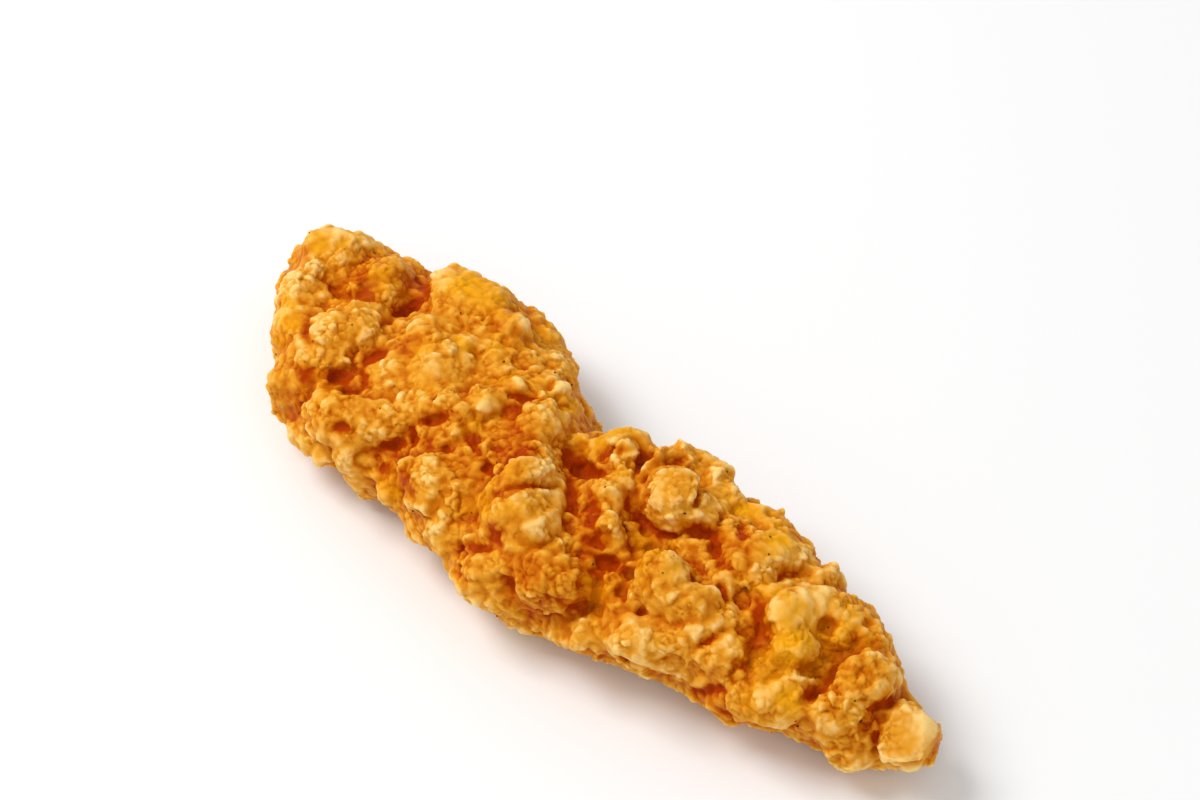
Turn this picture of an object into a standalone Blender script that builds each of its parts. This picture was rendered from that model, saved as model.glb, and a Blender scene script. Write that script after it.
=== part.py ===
"""A breaded and deep-fried chicken tender, as one solid that lies on its base.

The tapered body is a sphere warped through named stations along its length. A cobbled
relief covers it, with hollows sunk into the back. Crags of crust are then fused on: the
large ones at named places, the rest by a seeded rule wherever there is room. Last comes
the flat cut that leaves the low spots which the piece rests on.

Lengths are in metres, or in millimetres where a table says so. +Z is up, +X runs from the
broad end to the tip, and +Y is the far side. Angles go round a cross-section: 0 is the far
edge, 90 the back, 180 the near edge and 270 the underside.
"""

import math
import random

import bmesh
import bpy
import numpy as np
from mathutils import Matrix, Vector, noise

MM = 0.001
NAME = "chicken_tender"

# The body, without the crags that stand on it
LENGTH = 138 * MM
# Near edge, far edge, underside and top, in mm at even steps from the broad end to the tip
STATIONS = (
    (8.5, 8.5, 4.0, 9.0),
    (-2.5, 11.5, 0.6, 14.5),
    (-14.0, 11.5, 0.0, 17.5),
    (-22.5, 18.5, 0.0, 20.0),
    (-23.0, 18.0, 0.0, 21.0),
    (-23.5, 10.0, 0.0, 21.0),
    (-20.0, 17.0, 0.0, 20.5),
    (-13.0, 14.5, 0.0, 18.5),
    (-7.5, 11.0, 0.6, 15.0),
    (-1.5, 6.0, 2.0, 11.5),
    (2.5, 2.5, 5.0, 8.0),
)
EDGE_SHARE = 0.42  # height of the widest line, as a share of the section's height
BACK_POWER = 2.3  # how full the section is above that line
UNDER_POWER = 2.7  # and below it, where it is flatter
END_ROUNDING = 9.9  # how soon the section reaches its full height from either end
BASE_SINK = 0.1 * MM  # how far the body dips under the floor before the flat cut
RINGS = 64
RING_SIDES = 56
BODY_STEP = 2.6 * MM  # side of a face on the body before the crags go on

# The relief between the crags
COBBLE = 6.6 * MM
COBBLE_RISE = 2.4 * MM
COBBLE_FLOOR = 0.9 * MM
COBBLE_ROUND = 1.6
UNDER_SHARE = 0.6  # of the relief, on the underside
WARP = 2.2 * MM
WARP_LENGTH = 9 * MM

# Hollows in the back: a route of (x, y), a depth and a half width, in mm
HOLLOWS = (
    (((-3, 0), (3, -4), (11, -5), (17, -4), (22, -5)), 3.2, 3.0),
    (((17, -6), (19, -12), (20, -17)), 3.0, 2.6),
    (((-46, 12), (-43, 5), (-39, -3)), 2.4, 2.2),
    (((31, -1), (36, -5), (38, -10)), 1.6, 2.2),
    (((52, 5), (52, -1), (51, -6)), 1.8, 2.0),
)

# The large crags: x, angle, length, width, rise, and turn of the length from X.
# Lengths are in mm and angles in degrees.
CRAGS = (
    ("head_lump", -60, 80, 10.5, 8.5, 3.6, 20),
    ("head_front", -57.5, 112, 8.0, 7.0, 2.8, 70),
    ("head_far", -48.5, 68, 6.5, 5.5, 2.4, 100),
    ("head_side", -53.5, 140, 9.0, 6.0, 2.6, 80),
    ("shoulder", -45.5, 119, 8.0, 7.0, 3.0, 30),
    ("shoulder_knob", -42.5, 100, 5.0, 4.4, 2.6, 0),
    ("smooth_plate", -37, 58, 14.0, 10.0, 1.6, 10),
    ("edge_knob", -47.5, 160, 6.5, 5.0, 2.4, 40),
    ("near_cluster", -33.5, 147, 9.0, 7.5, 3.2, 50),
    ("near_knob", -39, 138, 5.5, 4.5, 2.2, 0),
    ("near_low", -39, 181, 6.5, 5.5, 2.2, 0),
    ("ledge", -29, 92, 11.0, 5.5, 2.0, 150),
    ("near_pair", -27.3, 139, 6.0, 5.5, 2.6, 15),
    ("back_knob", -19.5, 106, 5.5, 5.0, 2.6, 60),
    ("back_lump", -15.5, 92, 6.0, 5.0, 2.4, 120),
    ("left_cluster", -14, 141, 9.5, 8.0, 3.4, 30),
    ("curl", -11, 58, 8.5, 3.2, 3.0, 20),
    ("waist_lump", -7.5, 76, 7.5, 5.5, 3.2, 140),
    ("block_flake", 1.5, 38, 9.5, 4.2, 3.2, 0),
    ("bead", -1.0, 64, 3.4, 3.4, 3.4, 0),
    ("block_pair", 5.6, 62, 5.5, 5.0, 3.6, 30),
    ("twin_lump", -1.8, 97, 9.0, 6.5, 4.2, 150),
    ("great_lump", 2.6, 120, 12.5, 8.5, 4.8, 165),
    ("side_cluster", 1.8, 170, 9.5, 8.5, 2.8, 60),
    ("dome", 11.8, 145, 10.5, 9.0, 3.0, 0),
    ("hollow_lump", 9.4, 86, 6.5, 5.0, 3.6, 130),
    ("hollow_lower", 14.8, 103, 5.0, 6.5, 3.2, 20),
    ("tall_lump", 17.6, 78, 9.0, 7.5, 4.8, 70),
    ("far_ridge", 19.5, 46, 10.0, 5.0, 3.4, 160),
    ("far_low", 27, 40, 7.0, 5.5, 2.6, 20),
    ("lower_back", 26, 112, 7.0, 6.5, 3.4, 45),
    ("lower_mid", 32, 120, 6.5, 6.0, 3.0, 0),
    ("pale_block", 28.2, 155, 9.0, 6.5, 3.2, 20),
    ("corner_block", 36.5, 134, 8.0, 7.5, 3.2, 60),
    ("low_side", 20, 172, 6.5, 5.5, 2.4, 10),
    ("yellow_plate", 34, 70, 8.5, 8.0, 2.2, 30),
    ("step_lump", 43, 92, 8.0, 6.5, 3.0, 110),
    ("step_knob", 47.6, 112, 5.6, 5.6, 2.8, 0),
    ("side_blocks", 48.5, 152, 9.0, 6.5, 2.8, 0),
    ("side_knob", 42.5, 172, 6.0, 5.5, 2.2, 30),
    ("tip_mass", 57, 92, 9.5, 8.0, 2.8, 40),
    ("tip_side", 57, 138, 6.5, 6.0, 2.4, 0),
    ("tip_far", 52.5, 58, 6.5, 5.5, 2.4, 30),
)
SUNK = 0.42  # share of a crag's thickness that sits in the body
BLOCKY = 0.86  # below 1, a crag's ball bulges towards a block
LUMPY = 0.20
ROUND_FROM = 5.4 * MM  # a crag this long starts from a ball of 80 faces, a smaller one from 20
BEADS_ON_CRAG = 2
BEAD_SHARE = 0.42
BEAD_REACH = 0.46

# The square knob at the very end: its sizes, its middle and its turn
TIP_BLOCK = (7.5, 7.0, 6.0)
TIP_PLACE = (67.0, 1.0, 7.0)
TIP_TURN = 25

# Smaller crags wherever the named ones leave room
SMALL_CRAGS = 150
SMALL_TRIES = 4000
SMALL_SIZE = (3.4, 6.4)
SMALL_RISE = (0.32, 0.55)  # as a share of its length
SMALL_WIDTH = (0.7, 0.95)  # likewise
SMALL_GAP = 0.72  # of two crags' half sizes, the nearest that they stand
ENDS_CLEAR = 0.04
SEED = 23
WALL_X = (-20, 48)  # the near side has a smooth wall low down, between these in mm
WALL_ANGLES = (188, 245)
UNDERSIDE_BARE = 0.55  # share of the underside's crags that are left out

CRUST_STEP = 1.15 * MM  # the fused surface is made even at this step, then thinned out
MOST_TRIANGLES = 10500
CUTTER_DEPTH = 20 * MM

CRUST_COLOUR = (0.62, 0.25, 0.045, 1.0)
CRUST_ROUGHNESS = 0.5


def through(values, share):
    """A smooth curve through values at even steps, read at share from 0 to 1."""
    place = min(max(share, 0.0), 1.0) * (len(values) - 1)
    first = min(int(place), len(values) - 2)
    t = place - first
    last = len(values) - 1
    before, start, end, after = (values[min(max(first + k, 0), last)] for k in (-1, 0, 1, 2))
    straight = (end - before) * t
    bend = (2 * before - 5 * start + 4 * end - after) * t**2
    turn = (3 * start - before - 3 * end + after) * t**3
    return start + 0.5 * (straight + bend + turn)


def section(share):
    """Middle, half width, underside and top of the cross-section at a share of the length."""
    near, far, under, top = (through(column, share) * MM for column in zip(*STATIONS))
    return (near + far) / 2, max((far - near) / 2, 0.0), under, top


def signed_power(value, power):
    return math.copysign(abs(value) ** power, value)


def body_point(share, angle):
    """A point of the body's surface; angle in radians."""
    middle, half, under, top = section(share)
    above = math.sin(angle) > 0
    power = 2 / (BACK_POWER if above else UNDER_POWER)
    edge = under + EDGE_SHARE * (top - under)
    reach = top - edge if above else edge - under + BASE_SINK
    closing = math.sqrt(min(min(share, 1 - share) * END_ROUNDING, 1.0))
    x = -LENGTH / 2 * math.cos(math.pi * share)
    y = middle + half * signed_power(math.cos(angle), power)
    z = edge + closing * reach * signed_power(math.sin(angle), power)
    return Vector((x, y, z))


def body_axes(x, angle):
    """A frame on the body at x and an angle: its Z points outwards and its X along the piece."""
    share = math.acos(min(max(-2 * x / LENGTH, -1.0), 1.0)) / math.pi
    nudge = 0.01
    ahead = body_point(share + nudge, angle) - body_point(share - nudge, angle)
    around = body_point(share, angle + nudge) - body_point(share, angle - nudge)
    outward = around.cross(ahead).normalized()
    along = (Vector((1, 0, 0)) - outward * outward.x).normalized()
    turned = Matrix((along, outward.cross(along), outward)).transposed().to_4x4()
    return Matrix.Translation(body_point(share, angle)) @ turned


def new_object(name, mesh, collection):
    made = bpy.data.objects.new(name, mesh)
    collection.objects.link(made)
    return made


def mesh_from(build, name):
    """A mesh filled by build, a function of an empty bmesh."""
    shape = bmesh.new()
    build(shape)
    bmesh.ops.recalc_face_normals(shape, faces=shape.faces)
    mesh = bpy.data.meshes.new(name)
    shape.to_mesh(mesh)
    shape.free()
    return mesh


def bake_modifiers(made):
    """Replaces the object's mesh with the one that its modifiers give."""
    graph = bpy.context.evaluated_depsgraph_get()
    mesh = bpy.data.meshes.new_from_object(made.evaluated_get(graph))
    made.modifiers.clear()
    old = made.data
    made.data = mesh
    bpy.data.meshes.remove(old)


def even_out(made, step):
    """Faces of one size all over."""
    even = made.modifiers.new("even faces", "REMESH")
    even.mode = "VOXEL"
    even.voxel_size = step
    bake_modifiers(made)


def build_body(shape):
    """A sphere with its poles along X, each vertex moved to the body's surface."""
    bmesh.ops.create_uvsphere(shape, u_segments=RING_SIDES, v_segments=RINGS, radius=1)
    for vertex in shape.verts:
        share = math.acos(min(max(-vertex.co.z, -1.0), 1.0)) / math.pi
        vertex.co = body_point(share, math.atan2(vertex.co.y, vertex.co.x))
    bmesh.ops.remove_doubles(shape, verts=shape.verts, dist=0.05 * MM)


def distance_to_leg(point, start, end):
    leg = end - start
    share = min(max((point - start).dot(leg) / leg.length_squared, 0.0), 1.0)
    return (point - start - leg * share).length


def hollow_depth(point):
    """How far the hollows sink the body's back under a point."""
    depth = 0.0
    flat = Vector((point.x, point.y))
    for route, deepest, half_width in HOLLOWS:
        stops = [Vector(stop) * MM for stop in route]
        away = min(distance_to_leg(flat, start, end) for start, end in zip(stops, stops[1:]))
        depth = max(depth, deepest * MM * math.exp(-((away / (half_width * MM)) ** 2)))
    return depth


def cobble(point):
    """Height of the crust's cobbles at a point, 0 in the seams between them and up to 1."""
    warped = point + WARP * noise.noise_vector(point / WARP_LENGTH)
    distances, seeds = noise.voronoi(warped / COBBLE)
    tallness = 0.45 + 0.55 * noise.cell(seeds[0] * 7.3)
    return tallness * (1 - (distances[0] / distances[1]) ** COBBLE_ROUND)


def add_relief(mesh):
    """Cobbles all over, lower on the underside, and the hollows in the back."""
    places = []
    for vertex in mesh.vertices:
        upward = vertex.normal.z
        share = min(UNDER_SHARE + 0.75 * max(upward + 0.5, 0.0), 1.0)
        rise = share * (COBBLE_RISE * cobble(vertex.co) - COBBLE_FLOOR)
        place = vertex.co + vertex.normal * rise
        place.z -= hollow_depth(vertex.co) * max(upward, 0.0)
        places.append(place)
    mesh.vertices.foreach_set("co", np.array(places, dtype=np.float32).ravel())


def crag_mesh(name, sizes, draw):
    """An uneven ball between round and blocky, with its length, width and thickness."""
    shift = Vector((draw.uniform(0, 90), draw.uniform(0, 90), draw.uniform(0, 90)))

    def build(shape):
        fineness = 2 if sizes[0] >= ROUND_FROM else 1
        bmesh.ops.create_icosphere(shape, subdivisions=fineness, radius=1)
        for vertex in shape.verts:
            blocky = Vector([signed_power(value, BLOCKY) for value in vertex.co])
            vertex.co = blocky * (1 + LUMPY * noise.noise(vertex.co * 1.3 + shift))
        bmesh.ops.scale(shape, vec=Vector(sizes) / 2, verts=shape.verts)

    return mesh_from(build, name)


def add_crag(crags, name, axes, sizes, turn, draw):
    """One crag seated in the body at axes, with sizes of length, width and rise."""
    length, width, rise = sizes
    thickness = rise / (1 - SUNK)
    middle = axes @ Matrix.Translation((0, 0, thickness * (0.5 - SUNK)))
    middle = Matrix.Translation((0, 0, -hollow_depth(middle.translation))) @ middle
    middle = middle @ Matrix.Rotation(turn, 4, "Z")
    made = new_object(name, crag_mesh(name, (length, width, thickness), draw), crags)
    made.data.transform(middle)
    return middle


def add_beads(crags, name, middle, sizes, draw):
    """Small round beads of crust round a crag's rim."""
    for _ in range(BEADS_ON_CRAG):
        round_it = draw.uniform(0, math.tau)
        size = BEAD_SHARE * min(sizes[:2]) * draw.uniform(0.8, 1.25)
        x = BEAD_REACH * sizes[0] * math.cos(round_it)
        y = BEAD_REACH * sizes[1] * math.sin(round_it)
        bead = new_object(f"{name}_bead", crag_mesh(name, (size, size, size), draw), crags)
        bead.data.transform(middle @ Matrix.Translation((x, y, sizes[2] * 0.2)))


def add_named_crags(crags, draw):
    """The large crags and the tip's knob; returns the place and half size of each."""
    seats = []
    for name, x, angle, length, width, rise, turn in CRAGS:
        sizes = (length * MM, width * MM, rise * MM)
        axes = body_axes(x * MM, math.radians(angle))
        middle = add_crag(crags, name, axes, sizes, math.radians(turn), draw)
        add_beads(crags, name, middle, sizes, draw)
        seats.append((middle.translation, (sizes[0] + sizes[1]) / 4))
    knob = new_object("tip_block", crag_mesh("tip_block", [size * MM for size in TIP_BLOCK], draw), crags)
    place = Matrix.Translation(Vector(TIP_PLACE) * MM)
    knob.data.transform(place @ Matrix.Rotation(math.radians(TIP_TURN), 4, "Z"))
    seats.append((place.translation, TIP_BLOCK[0] * MM / 2))
    return seats


def is_bare(x, angle, draw):
    """True on the smooth wall of the near side, and here and there on the underside."""
    on_wall = WALL_X[0] < x / MM < WALL_X[1] and WALL_ANGLES[0] < angle < WALL_ANGLES[1]
    return on_wall or (angle > WALL_ANGLES[0] and draw.random() < UNDERSIDE_BARE)


def add_small_crags(crags, seats, draw):
    """Seeded crags of mixed size where there is still room for one."""
    placed = 0
    for _ in range(SMALL_TRIES):
        if placed == SMALL_CRAGS:
            break
        x = -LENGTH / 2 * math.cos(math.pi * draw.uniform(ENDS_CLEAR, 1 - ENDS_CLEAR))
        angle = draw.uniform(0, math.tau)
        size = draw.uniform(*SMALL_SIZE) * MM
        if is_bare(x, math.degrees(angle), draw):
            continue
        axes = body_axes(x, angle)
        point = axes.translation
        if any((point - seat).length < SMALL_GAP * (half + size / 2) for seat, half in seats):
            continue
        sizes = (size, size * draw.uniform(*SMALL_WIDTH), size * draw.uniform(*SMALL_RISE))
        add_crag(crags, f"small_{placed}", axes, sizes, draw.uniform(0, math.pi), draw)
        seats.append((point, size / 2))
        placed += 1


def fuse(body, crags):
    """One union of the body with every crag, which then go."""
    union = body.modifiers.new("crags", "BOOLEAN")
    union.operation = "UNION"
    union.operand_type = "COLLECTION"
    union.collection = crags
    union.solver = "MANIFOLD"
    bake_modifiers(body)
    for crag in list(crags.objects):
        bpy.data.objects.remove(crag)
    bpy.data.collections.remove(crags)


def keep_largest_shell(mesh):
    """Drops loose scraps and sealed hollows that fusing leaves."""
    shape = bmesh.new()
    shape.from_mesh(mesh)
    left = set(shape.faces)
    shells = []
    while left:
        shell = {left.pop()}
        front = list(shell)
        while front:
            beside = {other for edge in front.pop().edges for other in edge.link_faces} & left
            left -= beside
            shell |= beside
            front.extend(beside)
        shells.append(shell)
    largest = max(shells, key=len)
    scraps = [face for shell in shells if shell is not largest for face in shell]
    bmesh.ops.delete(shape, geom=scraps, context="FACES")
    shape.to_mesh(mesh)
    shape.free()


def thin_out(body):
    """Fewer faces, taken where the surface is flattest."""
    body.data.calc_loop_triangles()
    fewer = body.modifiers.new("fewer faces", "DECIMATE")
    fewer.ratio = min(MOST_TRIANGLES / len(body.data.loop_triangles), 1.0)
    bake_modifiers(body)


def cut_base(body, cutters):
    """The flat spots that the piece rests on, all at height 0."""
    side = 2 * LENGTH

    def build(shape):
        bmesh.ops.create_cube(shape, size=1)
        bmesh.ops.scale(shape, vec=(side, side, CUTTER_DEPTH), verts=shape.verts)
        bmesh.ops.translate(shape, vec=(0, 0, -CUTTER_DEPTH / 2), verts=shape.verts)

    block = new_object("base_cutter", mesh_from(build, "base_cutter"), cutters)
    block.hide_render = True
    block.display_type = "WIRE"
    cut = body.modifiers.new("flat base", "BOOLEAN")
    cut.operation = "DIFFERENCE"
    cut.object = block
    cut.solver = "MANIFOLD"
    bake_modifiers(body)


def centre_on_base(mesh):
    """Puts the middle of the footprint's box at the origin, with the flat spots at height 0."""
    corners = np.array([vertex.co for vertex in mesh.vertices])
    low = corners.min(axis=0)
    middle = (low + corners.max(axis=0)) / 2
    mesh.transform(Matrix.Translation((-middle[0], -middle[1], -low[2])))


def crust_material():
    crust = bpy.data.materials.new("fried_crust")
    crust.use_nodes = True
    shader = crust.node_tree.nodes["Principled BSDF"]
    shader.inputs["Base Color"].default_value = CRUST_COLOUR
    shader.inputs["Roughness"].default_value = CRUST_ROUGHNESS
    shader.inputs["Metallic"].default_value = 0.0
    return crust


def main():
    for old in list(bpy.data.objects):
        bpy.data.objects.remove(old)
    parts = bpy.data.collections.new(NAME)
    cutters = bpy.data.collections.new("cutters")
    crags = bpy.data.collections.new("crags")
    for collection in (parts, cutters, crags):
        bpy.context.scene.collection.children.link(collection)

    draw = random.Random(SEED)
    body = new_object(NAME, mesh_from(build_body, NAME), parts)
    even_out(body, BODY_STEP)
    add_relief(body.data)

    seats = add_named_crags(crags, draw)
    add_small_crags(crags, seats, draw)
    fuse(body, crags)
    even_out(body, CRUST_STEP)
    keep_largest_shell(body.data)
    thin_out(body)
    cut_base(body, cutters)
    keep_largest_shell(body.data)
    centre_on_base(body.data)
    body.data.name = NAME
    body.data.materials.clear()
    body.data.materials.append(crust_material())


main()
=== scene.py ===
# %% [markdown]
# # A fried chicken tender
#
# A strip of chicken, dipped in flour and fried, so that a rough golden crust covers it all
# over. The crust is made of crags a few millimetres across, which are themselves clumps of
# nuggets the size of a peppercorn. Its looks come from three things: crags that really stand
# out, pale tops over deep orange gaps, and light that soaks in a little before it comes back.
#
# Such a crust could be many small balls laid on the piece, but that looks like a heap of
# balls. It could be bump in the material, but then its edge against the floor stays smooth.
# Here the skin of one fine mesh is raised instead, crag by crag.
#
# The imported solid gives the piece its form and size. We load it as the frame first, and
# note the box that it fills.

# %% The frame
import math

import bmesh
import bpy
import numpy as np
from mathutils import Matrix, Vector, noise
from mathutils.kdtree import KDTree


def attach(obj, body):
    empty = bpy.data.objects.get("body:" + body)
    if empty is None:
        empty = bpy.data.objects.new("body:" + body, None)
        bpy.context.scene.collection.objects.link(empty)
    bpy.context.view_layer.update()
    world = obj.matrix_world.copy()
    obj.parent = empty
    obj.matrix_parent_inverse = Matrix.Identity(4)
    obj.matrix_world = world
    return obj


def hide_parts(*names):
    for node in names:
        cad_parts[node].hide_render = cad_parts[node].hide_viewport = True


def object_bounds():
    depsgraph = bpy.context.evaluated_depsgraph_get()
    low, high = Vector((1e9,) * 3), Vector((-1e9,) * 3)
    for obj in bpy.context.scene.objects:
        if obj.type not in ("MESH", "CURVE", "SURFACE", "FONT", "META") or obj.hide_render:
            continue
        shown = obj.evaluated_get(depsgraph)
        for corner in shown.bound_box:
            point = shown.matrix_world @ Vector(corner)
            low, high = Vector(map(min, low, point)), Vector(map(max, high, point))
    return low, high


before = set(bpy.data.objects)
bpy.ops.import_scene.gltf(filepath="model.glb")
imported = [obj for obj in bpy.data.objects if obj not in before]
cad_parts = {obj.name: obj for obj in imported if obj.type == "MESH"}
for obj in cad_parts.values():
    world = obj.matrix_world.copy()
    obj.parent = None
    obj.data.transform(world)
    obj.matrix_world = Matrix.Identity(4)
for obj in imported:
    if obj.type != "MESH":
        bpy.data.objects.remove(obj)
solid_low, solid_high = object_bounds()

MM = 0.001
NODE = "chicken_tender"
print("solid, mm:", [round(side / MM, 1) for side in solid_high - solid_low])

# %% [markdown]
# ## Small helpers
#
# A mesh of a hundred thousand faces is slow to change vertex by vertex in Python, so we read
# all its places into one numpy array, work on that, and write it back in one go.

# %% Reading and writing meshes


def places_of(mesh):
    """The vertices' places as an array with a row for each."""
    flat = np.empty(len(mesh.vertices) * 3, np.float32)
    mesh.vertices.foreach_get("co", flat)
    return flat.reshape(-1, 3).astype(float)


def outward_of(mesh):
    """The vertices' normals."""
    flat = np.empty(len(mesh.vertices) * 3, np.float32)
    mesh.vertex_normals.foreach_get("vector", flat)
    return flat.reshape(-1, 3).astype(float)


def move_to(mesh, places):
    mesh.vertices.foreach_set("co", places.astype(np.float32).ravel())
    mesh.update()


def edges_of(mesh):
    flat = np.empty(len(mesh.edges) * 2, np.int32)
    mesh.edges.foreach_get("vertices", flat)
    return flat.reshape(-1, 2)


def triangle_count(mesh):
    mesh.calc_loop_triangles()
    return len(mesh.loop_triangles)


# %% Working on arrays
SHOWN = (2, 25, 50, 75, 98)  # the percentiles that are printed of a measure


def unit(arrows):
    """Arrows of length 1 with the same directions."""
    return arrows / np.linalg.norm(arrows, axis=1, keepdims=True).clip(1e-12)


def smoothed(values, edges, rounds, pull=0.5):
    """Values at the vertices, each drawn towards the mean of its neighbours, round by round."""
    count = np.bincount(edges.ravel(), minlength=len(values)).clip(1)[:, None]
    columns = values.reshape(len(values), -1)
    for _ in range(rounds):
        sums = np.stack(
            [
                np.bincount(edges[:, 0], column[edges[:, 1]], len(values))
                + np.bincount(edges[:, 1], column[edges[:, 0]], len(values))
                for column in columns.T
            ],
            axis=1,
        )
        columns = columns + pull * (sums / count - columns)
    return columns.reshape(values.shape)


def tree_of(places):
    """A tree that finds the place nearest to any other."""
    tree = KDTree(len(places))
    for index, place in enumerate(places):
        tree.insert(place, index)
    tree.balance()
    return tree


# %% Objects and modifiers


def new_object(name, mesh):
    made = bpy.data.objects.new(name, mesh)
    bpy.context.scene.collection.objects.link(made)
    return made


def bake_modifiers(made):
    """Swaps the object's mesh for the one that its modifiers give."""
    graph = bpy.context.evaluated_depsgraph_get()
    old = made.data
    made.data = bpy.data.meshes.new_from_object(made.evaluated_get(graph))
    made.modifiers.clear()
    bpy.data.meshes.remove(old)


def remesh(made, step):
    """Covers the object with even faces of this size, which also fuses what overlaps."""
    even = made.modifiers.new("even faces", "REMESH")
    even.mode = "VOXEL"
    even.voxel_size = step
    bake_modifiers(made)


# %% [markdown]
# ## The base
#
# Under the crags lies a smoother skin of batter. A copy of the solid, with its loose
# triangles merged, remeshed finely and rubbed smooth, is that skin: it keeps the bends and
# swellings of the meat, and loses the solid's own lumps, which finer crags replace. We pull
# it in a little, so that the crags that rise from it end about where the solid does.

# %% The base
MERGED = 0.01 * MM  # vertices nearer than this are one
BASE_STEP = 0.36 * MM
BASE_SMOOTHING = 100  # rounds
BASE_SUNK = 0.8 * MM
LOW_SUNK = 0.35  # as a share of that at the floor, where the side is a smooth wall
LOW_HEIGHT = 8 * MM
BROAD_SMOOTHING = 110  # rounds on the normals, so that a crag stands up from the whole area


def merged_copy(node, name):
    shape = bmesh.new()
    shape.from_mesh(node.data)
    bmesh.ops.remove_doubles(shape, verts=shape.verts, dist=MERGED)
    mesh = bpy.data.meshes.new(name)
    shape.to_mesh(mesh)
    shape.free()
    return new_object(name, mesh)


crust = merged_copy(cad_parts[NODE], "crust")
remesh(crust, BASE_STEP)
base_edges = edges_of(crust.data)
move_to(crust.data, smoothed(places_of(crust.data), base_edges, BASE_SMOOTHING))
base = places_of(crust.data)
sunk = BASE_SUNK * (LOW_SUNK + (1 - LOW_SUNK) * (base[:, 2] / LOW_HEIGHT).clip(0, 1))
base -= sunk[:, None] * outward_of(crust.data)
outward = unit(smoothed(outward_of(crust.data), base_edges, BROAD_SMOOTHING))
base_tree = tree_of(base)
print("base:", len(base), "vertices")
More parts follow.
